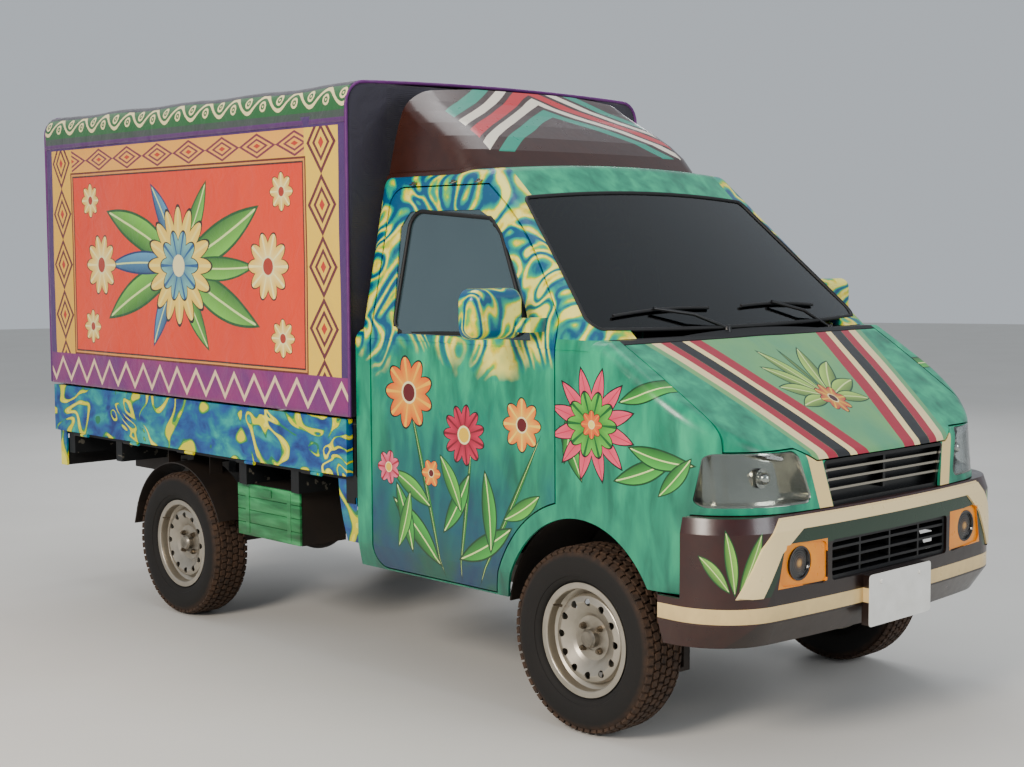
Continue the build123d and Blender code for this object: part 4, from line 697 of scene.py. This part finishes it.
# Windows: tinted laminated windshield and grey film on the door panes, each set in a black
# rubber seal. The seals follow the panes' edges, a few millimetres proud of the body.
def tube_along(name, points, radius, body, finish, closed=False):
    """A smooth round bead or tube that follows the points."""
    line = bpy.data.curves.new(name, "CURVE")
    line.dimensions = "3D"
    line.bevel_depth = radius
    line.bevel_resolution = 3
    line.use_fill_caps = True
    spline = line.splines.new("POLY")
    spline.points.add(len(points) - 1)
    for spot, point in zip(spline.points, points):
        spot.co = (*point, 1)
    spline.use_cyclic_u = closed
    line.materials.append(finish.material)
    piece = bpy.data.objects.new(name, line)
    bpy.context.scene.collection.objects.link(piece)
    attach(piece, body)


def set_on(surface, point, facing, lift):
    """The place where a point lands on a surface seen from outside, lifted off it a little."""
    facing = Vector(facing).normalized()
    landed, outward = surface.ray_cast(Vector(point) + facing * 3, -facing)[:2]
    if landed is None:
        landed, outward = surface.find_nearest(Vector(point))[:2]
    return landed + outward * lift


def pane_outline(name, facing):
    """The edge of the outer face of a pane, as points in order round it."""
    shape = bmesh.new()
    shape.from_mesh(nodes[name].data)
    bmesh.ops.remove_doubles(shape, verts=shape.verts, dist=0.00002)
    facing = Vector(facing).normalized()
    outer = {face for face in shape.faces if face.normal.dot(facing) > 0.75}
    edges = {edge for edge in shape.edges if sum(face in outer for face in edge.link_faces) == 1}
    walked = [min(edges, key=lambda edge: edge.index).verts[0]]
    while True:
        onward = [edge for edge in walked[-1].link_edges if edge in edges]
        if not onward:
            break
        edges.discard(onward[0])
        walked.append(onward[0].other_vert(walked[-1]))
    points = [vertex.co.copy() for vertex in walked[:-1]]
    shape.free()
    return points


glass = Finish("tinted_glass", roughness=0.03)
glass.paint("52656C")
glass.set("Transmission Weight", 1.0)
glass.set("IOR", 1.5)
glass.bump(glass.cloud(3, 1), 0.02, 0.002)
put_on(glass, "windshield", "cab_rear_window")
film = Finish("grey_window_film", roughness=0.06, metallic=0.25, coat=1.0)
film.paint(film.mottle(2, 2, "50666F", "6E838A"))
film.set("Transmission Weight", 0.35)
film.set("Coat Roughness", 0.02)
put_on(film, "door_glass_right", "door_glass_left")
rubber = Finish("black_seal_rubber", roughness=0.6)
rubber.paint(rubber.mottle(20, 4, "0E0E10", "25262A"))
rubber.bump(rubber.cloud(300, 3), 0.2, 0.0005)
screen_facing = (0, -1, 0.6)
seal_radius = 0.0075
for name, pane, facing, radius in (("windshield_seal", "windshield", screen_facing, seal_radius),
                                   ("rear_window_seal", "cab_rear_window", (0, 1, 0), 0.0065)):
    tube_along(name, pane_outline(pane, facing), radius, "truck", rubber, closed=True)
both_sides = (("right", -1), ("left", 1))
window_corners = [
    # millimetres behind the axle, millimetres up
    (897, 1652), (404, 1666), (234, 1250), (904, 1229),
]
for name, side in both_sides:
    window_shape = bmesh.new()
    corners = [window_shape.verts.new((side * 0.7, behind(along), up / 1000))
               for along, up in window_corners]
    window_shape.faces.new(corners)
    bmesh.ops.bevel(window_shape, geom=corners, offset=0.055, affect="VERTICES", segments=7, profile=0.5,
                    material=-1)
    pane = surface_of(f"door_glass_{name}")
    seal_points = [set_on(pane, loop.vert.co, (side, 0, 0), 0.003)
                   for loop in window_shape.faces[:][0].loops]
    window_shape.free()
    tube_along(f"door_window_seal_{name}", seal_points, seal_radius, f"door_{name}_body", rubber,
               closed=True)

# Wipers: two pressed steel arms in black paint turn on spindles at the cowl, each with a
# rubber blade that lies along the foot of the windshield and follows its curve.
wiper = Finish("black_wiper_paint", roughness=0.4)
wiper.paint(wiper.mottle(25, 4, "0D0D0F", "222226"))
wiper.bump(wiper.cloud(220, 3), 0.15, 0.0005)
screen = surface_of("windshield")
cowl_top = surface_of("cowl")
blade_z, blade_rise, blade_radius, arm_radius = 1.306, 0.010, 0.0055, 0.006
for name, pivot_x, tip_x in (("right", -0.15, -0.585), ("left", 0.44, 0.02)):
    blade = []
    for share in (0.0, 0.15, 0.3, 0.45, 0.6, 0.75, 0.9, 1.0):
        x = pivot_x + (tip_x - pivot_x) * share
        z = blade_z + blade_rise * math.sin(math.pi * share)
        blade.append(set_on(screen, (x, behind(0), z), screen_facing, 0.007))
    tube_along(f"wiper_blade_{name}", blade, blade_radius, "truck", rubber)
    middle = blade[4] + Vector((0, -0.008, 0.006))
    foot = set_on(cowl_top, (pivot_x + 0.02, behind(-45), 1.3), (0, -0.3, 1), 0.006)
    bend = foot + Vector((-0.02, 0.004, 0.012))
    knee = (foot + middle) / 2 + Vector((0, -0.012, 0.016))
    tube_along(f"wiper_arm_{name}", [foot, bend, knee, middle], arm_radius, "truck", wiper)
    spindle = bmesh.new()
    peg(spindle, Matrix.Translation(foot), 0.016, 0.011, 0.022, sides=20)
    bmesh.ops.bevel(spindle, geom=spindle.edges[:], offset=0.002, affect="EDGES", segments=2, profile=0.5,
                    material=-1)
    new_piece(f"wiper_spindle_{name}", spindle, "truck", wiper)

# Lamps: clear moulded covers over bright bowls, ribbed at their outer half, with a capped
# bulb in the middle. The fog lamps carry a painted glow, amber in the middle for the light
# off their reflectors, shading to a near-black ring at the rim; the rear units are plastic.
lens = Finish("clear_fluted_cover", roughness=0.04)
lens.paint("E8ECEC")
lens.set("Transmission Weight", 1.0)
lens.set("IOR", 1.35)
lens.bump(lens.x.waves(420.0) * (abs(lens.x) > 0.60), 0.1, 0.002)
put_on(lens, "headlamp_lenses")
bowl = Finish("bright_reflector", roughness=0.16, metallic=1.0)
bowl.paint(bowl.mottle(8, 3, "B9B6AC", "E6E3D8"))
bowl.bump(bowl.x.waves(260.0) * (abs(bowl.x) > 0.59), 0.35, 0.003)
put_on(bowl, "headlamp_bowls")
fog = Finish("smoky_fog_glass_with_painted_glow", roughness=0.12, coat=0.6)
fog_reach = fog.length(abs(fog.x) - 0.454, fog.z - 0.596)
# Painted glow and painted shade: amber at each fog lamp's middle, fading through brown to near black at its
# rim.
fog.paint(fog.ramp(
    fog_reach * 20.0, (0.12, "C8A060"), (0.3, "5A4426"), (0.55, "2A2018"), (0.78, "0F0D0C")))
fog.bump(fog_reach.waves(900.0), 0.25, 0.002)
put_on(fog, "fog_lamps")
bulb = Finish("bulb_cap_chrome", roughness=0.12, metallic=1.0)
bulb.paint(bulb.mottle(50, 2, "C8C6C0", "EDEBE4"))
cover = surface_of("headlamp_lenses")
bulb_x, bulb_z, bulb_depth, bulb_radius = 0.535, 0.85, 0.045, 0.019
for name, side in both_sides:
    bulb_place = set_on(cover, (side * bulb_x, behind(-560), bulb_z), (0, -1, 0), -bulb_depth)
    cap = bmesh.new()
    bmesh.ops.create_uvsphere(cap, u_segments=24, v_segments=14, radius=bulb_radius,
                              matrix=Matrix.Translation(bulb_place))
    collar_place = Matrix.Translation(bulb_place + Vector((0, 0.012, 0)))
    peg(cap, collar_place @ Matrix.Rotation(-math.pi / 2, 4, "X"), 0.030, bulb_radius, 0.012, sides=24)
    new_piece(f"headlamp_bulb_{name}", cap, "truck", bulb)
red_lamp = Finish("red_lamp_plastic", roughness=0.12, coat=0.5)
red_lamp.colour = red_lamp.mix(abs(red_lamp.x).near(0.545, 0.033), "8E1010", "C9C4BC")
red_lamp.lay(abs(red_lamp.x).near(0.665, 0.040), "C8641A")
red_lamp.paint(red_lamp.colour)
red_lamp.bump(red_lamp.x.waves(900.0), 0.2, 0.002)
put_on(red_lamp, "rear_lamps")

# Cargo bed: steel deck and bow tubes in worn grey-black paint with scratches down to the
# metal; the dropsides and tailgate carry fat yellow-green squiggles on streaky blue.
bed = Finish("worn_bed_paint", roughness=0.55, metallic=0.2)
scratches = bed.cloud(30, 6, 0.2, bed.stretched(1, 0.12, 1)) > 0.64
bed.paint(bed.mix(scratches, bed.mottle(6, 4, "24272A", "34373A"), "7A776F"))
bed.bump(bed.cloud(90, 4), 0.25, 0.001)
put_on(bed, "cargo_deck", "bow_frame")


def squiggles(finish):
    """Fat yellow-green squiggles, brushed in mostly flat curls over streaky blue."""
    water = finish.cloud(11, 5, 0.5, finish.stretched(1, 0.8, 1.2))
    colour = finish.ramp(water, (0.34, "0B3F8A"), (0.46, "0D6CA8"), (0.58, "1596A4"), (0.72, "3CC0B0"))
    folds = finish.cloud(5.2, 0.0, 0.6, finish.pushed(3.0, 0.55, (1, 0.75, 1.35)))
    line = folds.waves(24.0) + (finish.cloud(8.0, 1) * 2.8 - 1.45)
    for limit, code in ((0.42, "1E8E6A"), (0.58, "8CBE3A"), (0.72, "E6DC2E"), (1.12, "F6EE6A")):
        colour = finish.mix(line > limit, colour, code)
    return colour


squiggle = Finish("blue_with_squiggles")
squiggle.colour = squiggles(squiggle)
close_paint(squiggle, 0.42)
put_on(squiggle, "dropside_right", "dropside_left", "tailgate")
rear_bar = Finish("rear_bar_with_painted_ends")
rear_bar.colour = rear_bar.mix(abs(rear_bar.x) > 0.7215, "1B1C1F", squiggles(rear_bar))
close_paint(rear_bar, 0.5)
put_on(rear_bar, "rear_bar")

# Splash flaps: thin sheet steel, painted as the dropsides are, that hangs from the deck's
# front corners behind the cab and curls in a little at its foot.
flap_x, flap_curl = 0.719, 0.03
flap_behind, flap_length = 1196, 110
flap_foot_z, flap_height = 0.452, 0.236
for name, side in both_sides:
    flap = bmesh.new()
    bmesh.ops.create_grid(flap, x_segments=6, y_segments=14, size=0.5)
    for vertex in flap.verts:
        rise = vertex.co.y + 0.5
        x = side * (flap_x - flap_curl * (1 - rise) ** 2)
        along = flap_behind + flap_length * vertex.co.x * (0.75 + 0.25 * rise)
        vertex.co = (x, behind(along), flap_foot_z + flap_height * rise)
    bmesh.ops.solidify(flap, geom=flap.faces[:], thickness=0.002)
    bmesh.ops.recalc_face_normals(flap, faces=flap.faces)
    new_piece(f"splash_flap_{name}", flap, "truck", squiggle)

# Toolbox door: four green painted boards on two steel straps, with a turned latch at the
# top. The door stands for its plain CAD board and swings down with it.
board = Finish("green_painted_boards")
board_grain = board.cloud(22, 6, 0.8, board.stretched(1, 0.12, 1))
board.colour = board.ramp(board_grain, (0.3, "1E6A45"), (0.5, "3E9A66"), (0.68, "63BC84"))
close_paint(board, 0.5)
door_low, door_high = (Vector(corner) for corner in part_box("toolbox_door"))
door_middle = (door_low + door_high) / 2
door_size = door_high - door_low
board_count = 4
board_pitch = door_size.z / board_count
board_gap = 0.0016
boards = bmesh.new()
for index in range(board_count):
    spot = Matrix.Translation((door_middle.x, door_middle.y, door_low.z + board_pitch * (index + 0.5)))
    block(boards, spot, (door_size.x, door_size.y, board_pitch - board_gap), 0.0022)
new_piece("toolbox_boards", boards, "toolbox_door_body", board, ["toolbox_door"])
strap_table = [
    # along, share of the height up from the middle, length, share of the height, depth
    (-0.14, 0.0, 0.024, 0.9, 0.002), (0.14, 0.0, 0.024, 0.9, 0.002), (0.0, 0.378, 0.05, 0.14, 0.004),
]
straps = bmesh.new()
for along, up, length, height, depth in strap_table:
    place = (door_low.x - depth / 2, door_middle.y + along, door_middle.z + up * door_size.z)
    block(straps, Matrix.Translation(place), (depth, length, height * door_size.z), 0.0006, segments=1)
new_piece("toolbox_straps", straps, "toolbox_door_body", board)

# Mirror glasses: flat silvered panes in the rear face of each mirror head, with a thin
# black bead round them.
silver = Finish("silvered_glass", roughness=0.02, metallic=1.0)
silver.paint(silver.mottle(3, 1, "D4D9DC", "E4E8EA"))
mirror_x, mirror_behind, mirror_z = 0.8813, 265.6, 1.322
for name, side in both_sides:
    mirror_spot = Matrix.Translation((side * mirror_x, behind(mirror_behind), mirror_z))
    pane = rounded_pane(mirror_spot @ Matrix.Rotation(-math.pi / 2, 4, "X"), 0.186, 0.124, 0.03, 8)
    bead_points = [loop.vert.co.copy() for loop in pane.faces[:][0].loops]
    bmesh.ops.recalc_face_normals(pane, faces=pane.faces)
    bmesh.ops.solidify(pane, geom=pane.faces[:], thickness=0.001)
    new_piece(f"mirror_glass_{name}", pane, f"door_{name}_body", silver)
    tube_along(f"mirror_bead_{name}", bead_points, 0.0025, f"door_{name}_body", rubber,
               closed=True)

# Seats: a foam cushion and back for driver and passenger in grey woven cloth, with two
# sewn channels down each. They are blown up like stuffed cloth and stand for the CAD ones.
seat_cloth = Finish("grey_seat_cloth", roughness=0.85)
seat_cloth.paint(seat_cloth.mottle(14, 5, "2E3038", "4A4C54"))
seat_cloth.set("Sheen Weight", 0.4)
seat_cloth.bump(seat_cloth.x.waves(1500.0) * seat_cloth.y.waves(1500.0), 0.3, 0.0012)


def as_it_shows(form):
    """The mesh of an object with its modifiers applied."""
    return bpy.data.meshes.new_from_object(form.evaluated_get(bpy.context.evaluated_depsgraph_get()))


def stuffed(shape, cap):
    """Evens out a cushion's mesh and blows it up; no point moves further than the cap."""
    data = bpy.data.meshes.new("cushion_form")
    shape.to_mesh(data)
    shape.free()
    form = bpy.data.objects.new("cushion_form", data)
    bpy.context.scene.collection.objects.link(form)
    remesh = form.modifiers.new("even_cloth", "REMESH")
    remesh.mode = "VOXEL"
    remesh.voxel_size = 0.008
    even = as_it_shows(form)
    form.modifiers.clear()
    form.data = even
    places = [vertex.co.copy() for vertex in even.vertices]
    cloth = form.modifiers.new("stuffing", "CLOTH")
    cloth.settings.use_pressure = True
    cloth.settings.uniform_pressure_force = 4
    cloth.settings.effector_weights.gravity = 0
    for step in range(1, 21):
        bpy.context.scene.frame_set(step)
    for index, vertex in enumerate(as_it_shows(form).vertices):
        move = vertex.co - places[index]
        places[index] += move.normalized() * min(move.length, cap)
    bpy.context.scene.frame_set(1)
    made = bmesh.new()
    made.from_mesh(even)
    for vertex, place in zip(made.verts, places):
        vertex.co = place
    bpy.data.objects.remove(form)
    return made


seat_foot_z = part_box("seats")[0][2]
seat_x = 0.330
most_swelling = 0.014
channel_x, channel_half, channel_depth = 0.115, 0.007, 0.005
pad_table = [
    # name, width, depth, height, centre behind the axle, centre up, lean, narrowing at the top
    ("cushion", 0.470, 0.455, 0.090, 702, seat_foot_z + 0.062, 0.0, 0.0),
    ("back", 0.460, 0.070, 0.610, 968, seat_foot_z + 0.410, -11.0, 0.42),
]
for pad, width, depth, height, pad_y, pad_z, lean, narrowing in pad_table:
    pad_shape = bmesh.new()
    bmesh.ops.create_cube(pad_shape, size=1)
    bmesh.ops.subdivide_edges(pad_shape, edges=pad_shape.edges[:], cuts=7, use_grid_fill=True)
    for vertex in pad_shape.verts:
        rise = max(0.0, vertex.co.z - 0.18) / 0.32
        half = vertex.co.x * width * (1 - narrowing * rise ** 1.5)
        vertex.co = (half, vertex.co.y * depth, vertex.co.z * height)
    bmesh.ops.rotate(pad_shape, verts=pad_shape.verts, cent=(0, 0, 0),
                     matrix=Matrix.Rotation(math.radians(lean), 3, "X"))
    puffed = stuffed(pad_shape, most_swelling)
    puffed.normal_update()
    for vertex in puffed.verts:
        off_channel = min(abs(abs(vertex.co.x) - channel_x), 0.05)
        vertex.co -= vertex.normal * channel_depth * math.exp(-(off_channel / channel_half) ** 2)
    for name, side in both_sides:
        one_pad = puffed.copy()
        bmesh.ops.translate(one_pad, verts=one_pad.verts, vec=(side * seat_x, behind(pad_y), pad_z))
        stands_for = ["seats"] if pad == "cushion" and side < 0 else []
        piece = new_piece(f"seat_{pad}_{name}", one_pad, "truck", seat_cloth, stands_for, sharp=180)
        finer = piece.modifiers.new("smooth_cloth", "SUBSURF")
        finer.levels = 1
        finer.render_levels = 1
    puffed.free()


# Canvas: coated polyester cloth stretched over the hoops. The side sheets carry a painted
# panel in a diamond border, the valances a running wave, and the ends are plain navy.
def cloth_surface(finish):
    """Weave, soft creases and the dull sheen of coated cloth."""
    finish.set("Sheen Weight", 0.35)
    finish.set("Sheen Roughness", 0.45)
    threads = finish.y.waves(900.0) * finish.z.waves(900.0)
    finish.bump(finish.cloud(9, 5, 1.2) * 3.0 + threads * 0.12, 0.5, 0.004)


def diamonds(finish, along, across, pitch, half, ground, line):
    """A chain of nested diamonds along a border strip."""
    reach = abs(along.step("WRAP", pitch / 2, -pitch / 2)) * (2 / pitch) + abs(across) * (1 / half)
    colour = finish.mix(reach.near(0.92, 0.10), ground, line)
    colour = finish.mix(reach.near(0.52, 0.09), colour, line)
    return finish.mix(reach < 0.20, colour, "C8472E")


canvas = Finish("painted_side_canvas", roughness=0.62)
along = canvas.y - front_axle_y
up = canvas.z
canvas.panel = canvas.flat(along, up)
canvas.colour = canvas.mottle(5, 4, "4B2A6B", "6D3F86", 0.5)
front_strip = diamonds(canvas, up - 1.46, along - 1.275, 0.225, 0.088, "F0CE50", "7A3048")
rear_strip = diamonds(canvas, up - 1.46, along - 3.212, 0.225, 0.076, "EEC24A", "7A3048")
top_strip = diamonds(canvas, along, up - 1.915, 0.24, 0.047, "F2B95A", "8A3A5E")
border_colour = canvas.mix(along < 2.2, rear_strip, front_strip)
border_colour = canvas.mix((up > 1.866) * along.near(2.25, 0.87), border_colour, top_strip)
canvas.lay(along.near(2.2345, 1.0615) * up.near(1.512, 0.455), border_colour)
orange_ground = canvas.mottle(3.5, 4, "DC3E08", "F2621C", 0.6)
frame_lines = [
    # half length, half height, colour
    (0.880, 0.402, "7A2E22"), (0.872, 0.394, "E0A45A"), (0.864, 0.386, "5A2A20"),
    (0.857, 0.379, orange_ground),
]
for half_length, half_height, shade in frame_lines:
    canvas.lay(along.near(2.253, half_length) * up.near(1.463, half_height), shade)
panel_heart = (2.25, 1.46)
green, blue = ("1B6A3A", "8CCB5C"), ("1F4A7A", "6FA8C8")
panel_leaves = [
    # turn, length, half width, dark and light colour
    (22, 0.62, 0.070, green), (-22, 0.62, 0.070, green), (158, 0.62, 0.070, green),
    (202, 0.62, 0.070, green), (0, 0.55, 0.050, blue), (180, 0.55, 0.050, green),
    (58, 0.40, 0.050, blue), (122, 0.40, 0.050, green), (-58, 0.40, 0.050, blue),
    (238, 0.40, 0.050, green),
]
for turn, length, half_width, tints in panel_leaves:
    leaf(canvas, panel_heart, turn, length, half_width, *tints)
blossom(canvas, panel_heart, 0.250, 16, "C2304E", "F7E48E", "F2D05A")
blossom(canvas, panel_heart, 0.150, 10, "F0E7B8", "2E6FA0", "8FC6C0")
for start in (1.62, 2.88):
    blossom(canvas, (start, 1.46), 0.135, 10, "B5472A", "FBF0B0", "F0C85A")
for height in (1.74, 1.19):
    for start in (1.53, 2.97):
        blossom(canvas, (start, height), 0.075, 8, "B5472A", "FBF0B0", "E8C050")
zigzag_height = along.step("PINGPONG", 0.069) * 1.35 + 0.945
zigzag_ground = canvas.mottle(6, 3, "5E2E84", "B03E84", 0.4)
zigzag_colour = canvas.mix((up - zigzag_height).near(0.0, 0.0125), zigzag_ground, "EBD2B4")
canvas.lay(up < 1.062, zigzag_colour)
canvas.paint(canvas.colour)
cloth_surface(canvas)

roof_canvas = Finish("canvas_roof_with_scrolls", roughness=0.6)
along = roof_canvas.y - front_axle_y
up = roof_canvas.z
roof_canvas.colour = roof_canvas.mottle(9, 4, "5A5560", "4A6A55")
roof_canvas.lay(up.near(2.072, 0.052), "2F7A46")
roof_canvas.lay(up < 1.994, "6E3A7E")
wave_line = along.waves(31.7) * 0.030 + 2.069
scroll = (up - wave_line).near(0.0, 0.0075)
for shift, middle in ((0.0495, 2.060), (-0.0495, 2.078)):
    ring_reach = roof_canvas.length((along - shift).step("WRAP", 0.0991, -0.0991), up - middle)
    scroll = scroll.step("MAXIMUM", ring_reach.near(0.016, 0.0045))
    scroll = scroll.step("MAXIMUM", ring_reach < 0.0045)
roof_canvas.lay(scroll, "EFE3B4")
on_valance = abs(roof_canvas.x) > 0.735
roof_canvas.paint(roof_canvas.mix(
    on_valance, roof_canvas.mottle(4, 4, "23203C", "34294C", 0.5), roof_canvas.colour))
cloth_surface(roof_canvas)

navy = Finish("navy_end_canvas", roughness=0.6)
navy.paint(navy.mottle(4, 4, "1D1B36", "33284A", 0.6))
cloth_surface(navy)
piping = Finish("magenta_piping", roughness=0.5)
piping.paint(piping.mottle(20, 4, "5E2A74", "8A3F8E"))
piping.bump(piping.z.waves(1400.0), 0.3, 0.001)

canvas_x = 0.764
canvas_front, canvas_rear = 1122, 3354
canvas_top, roof_crown, canvas_shoulder = 2.139, 0.014, 0.080
valance_low = 1.976
hoop_first, hoop_pitch, hoop_sag = 1180, 529, 0.005
cloth_thickness = 0.0025
roof_flat_half = canvas_x - canvas_shoulder
shoulder_arc = canvas_shoulder * math.pi / 2
shoulder_z = canvas_top - roof_crown - canvas_shoulder
roof_half_run = roof_flat_half + shoulder_arc + shoulder_z - valance_low


def roof_section(reach):
    """Point of the roof sheet's cross-section, from -1 at the right hem to 1 at the left."""
    side = -1 if reach < 0 else 1
    run = abs(reach) * roof_half_run
    if run < roof_flat_half:
        return Vector((side * run, canvas_top - roof_crown * (run / roof_flat_half) ** 2)), Vector((0, 1))
    angle = min((run - roof_flat_half) / canvas_shoulder, math.pi / 2)
    outward = Vector((math.sin(angle), math.cos(angle)))
    point = Vector((roof_flat_half, shoulder_z)) + canvas_shoulder * outward
    point.y -= max(0.0, run - roof_flat_half - shoulder_arc)
    return Vector((side * point.x, point.y)), Vector((side * outward.x, outward.y))


def slack(along):
    """How far the cloth hangs in between two hoops, from 0 at a hoop to 1 midway."""
    return math.sin(math.pi * (along - hoop_first) / hoop_pitch) ** 2


def crumple(x, y, z):
    """A smooth random height, the same each time for the same place."""
    return noise.noise(Vector((x, y, z)))


def sheet_grid(across, up):
    """A flat grid that a sheet is shaped from, 2 units each way."""
    shape = bmesh.new()
    bmesh.ops.create_grid(shape, x_segments=across, y_segments=up, size=1)
    return shape


def along_canvas(share):
    """Millimetres behind the axle, from -1 at the canvas's front edge to 1 at its rear."""
    return canvas_front + (share + 1) / 2 * (canvas_rear - canvas_front)


def hang_sheet(name, shape, finish, stands_for):
    """Makes a stretched sheet from its shaped grid and gives it the cloth's thickness."""
    bmesh.ops.recalc_face_normals(shape, faces=shape.faces)
    piece = new_piece(name, shape, "truck", finish, stands_for, sharp=80)
    thickness = piece.modifiers.new("cloth_thickness", "SOLIDIFY")
    thickness.thickness = cloth_thickness
    thickness.offset = 0


roof_grid = sheet_grid(110, 150)
for vertex in roof_grid.verts:
    along = along_canvas(vertex.co.y)
    (x, z), outward = roof_section(vertex.co.x)
    hem = max(0.0, abs(vertex.co.x) - 0.9) * 10
    ripple = crumple(x * 3, along / 260, z * 4) * 0.004 + crumple(x * 9, along / 70, z * 8) * 0.0012
    push = ripple - 0.003 - hoop_sag * slack(along) * (1 - hem * 0.5) + hem * 0.004 * crumple(7, along / 110, 3)
    vertex.co = (x + outward.x * push, behind(along), z + outward.y * push)
hang_sheet("canvas_roof_sheet", roof_grid, roof_canvas, ["canvas_roof"])

side_low, side_high = 0.922, 2.006
side_height = side_high - side_low
side_depth, side_limit = 0.7575, 0.7615
for name, side in both_sides:
    side_grid = sheet_grid(130, 64)
    for vertex in side_grid.verts:
        along = along_canvas(vertex.co.x)
        rise = (vertex.co.y + 1) / 2
        height = side_low + rise * side_height
        free = math.sin(math.pi * rise) ** 0.5 if 0 < rise < 0.999 else 0
        folds = crumple(side * 5, along / 310, height * 1.2) * 0.006
        folds += crumple(side * 9, along / 90, height * 3.5) * 0.0018
        depth = side_depth + (folds - hoop_sag * slack(along)) * (0.25 + 0.75 * free)
        vertex.co = (side * min(depth, side_limit), behind(along), height)
    hang_sheet(f"canvas_side_sheet_{name}", side_grid, canvas,
               ["canvas_sides"] if side < 0 else [])

end_high, end_half = 2.118, 0.7545
end_shoulder_z, end_shoulder = 2.045, 0.076
end_height = end_high - side_low
for name, outer_y, inward in (("front", canvas_front, 1), ("rear", canvas_rear, -1)):
    end_grid = sheet_grid(90, 70)
    for vertex in end_grid.verts:
        across = vertex.co.x
        height = side_low + (vertex.co.y + 1) / 2 * end_height
        over = max(0.0, height - end_shoulder_z) / end_shoulder
        half = end_half - end_shoulder * (1 - math.sqrt(max(0.0, 1 - over ** 2)))
        folds = crumple(across * 4.2, height * 1.3, inward * 3)
        folds += 0.4 * crumple(across * 11, height * 2.2, inward)
        inset = 0.0035 + 0.0042 * min(1.0, max(-0.7, folds * 1.6))
        vertex.co = (across * half, behind(outer_y) + inward * inset, height)
    hang_sheet(f"canvas_end_sheet_{name}", end_grid, navy,
               ["canvas_ends"] if inward > 0 else [])

piping_inset, piping_foot_z, piping_sink = 0.006, side_low + 0.004, 0.005
for name, edge_y in (("front", canvas_front + 3), ("rear", canvas_rear - 3)):
    hoop = [roof_section(step / 40)[0] for step in range(-40, 41)]
    loop = [(-canvas_x + piping_inset, behind(edge_y), piping_foot_z)]
    loop += [(x * (1 - piping_inset / canvas_x), behind(edge_y), z - piping_sink) for x, z in hoop]
    loop.append((canvas_x - piping_inset, behind(edge_y), piping_foot_z))
    tube_along(f"canvas_piping_{name}", loop, 0.0065, "truck", piping)

# Closing straps: webbing down the rear curtain with pressed steel buckles, which hold it
# shut over the tailgate. They lie on the cloth and are stitched to its top.
webbing = Finish("grey_webbing", roughness=0.8)
webbing.paint(webbing.mottle(30, 4, "3A3834", "5A564E"))
webbing.bump((webbing.x + webbing.z).waves(2600.0), 0.5, 0.001)
plated = Finish("plated_buckle_steel", roughness=0.3, metallic=1.0)
plated.paint(plated.mottle(40, 4, "A8A49A", "7A6E60"))
curtain_y = behind(canvas_rear + 0.5)
strap_foot_z, strap_length, strap_width, strap_wave = 0.985, 1.02, 0.035, 0.0008
for name, across in (("right", -0.42), ("left", 0.42)):
    strap = bmesh.new()
    bmesh.ops.create_grid(strap, x_segments=2, y_segments=40, size=0.5)
    for vertex in strap.verts:
        height = strap_foot_z + (vertex.co.y + 0.5) * strap_length
        vertex.co = (across + vertex.co.x * strap_width, curtain_y + strap_wave * math.sin(height * 19), height)
    bmesh.ops.recalc_face_normals(strap, faces=strap.faces)
    bmesh.ops.solidify(strap, geom=strap.faces[:], thickness=0.0016)
    new_piece(f"curtain_strap_{name}", strap, "truck", webbing)
    buckle = bmesh.new()
    block(buckle, Matrix.Translation((across, curtain_y + 0.002, 1.06)), (0.052, 0.006, 0.040), 0.0022)
    new_piece(f"curtain_buckle_{name}", buckle, "truck", plated)

# Deflector clips: bent steel tabs with a screw each, which hold the deflector's foot to the
# cab roof along its sides.
roof_top = surface_of("cab_roof")
clip_x, clip_lean = 0.628, math.radians(18)
clips = bmesh.new()
for side in (-1, 1):
    for along in (560, 690, 900):
        spot = set_on(roof_top, (side * clip_x, behind(along), 1.75), (side * 0.25, 0, 1), 0.003)
        turn = Matrix.Translation(spot) @ Matrix.Rotation(side * clip_lean, 4, "Y")
        block(clips, turn, (0.040, 0.020, 0.004), 0.0012)
        peg(clips, turn @ Matrix.Translation((side * 0.006, 0, 0.004)), 0.007, 0.006, 0.007)
new_piece("deflector_clips", clips, "truck", plated)
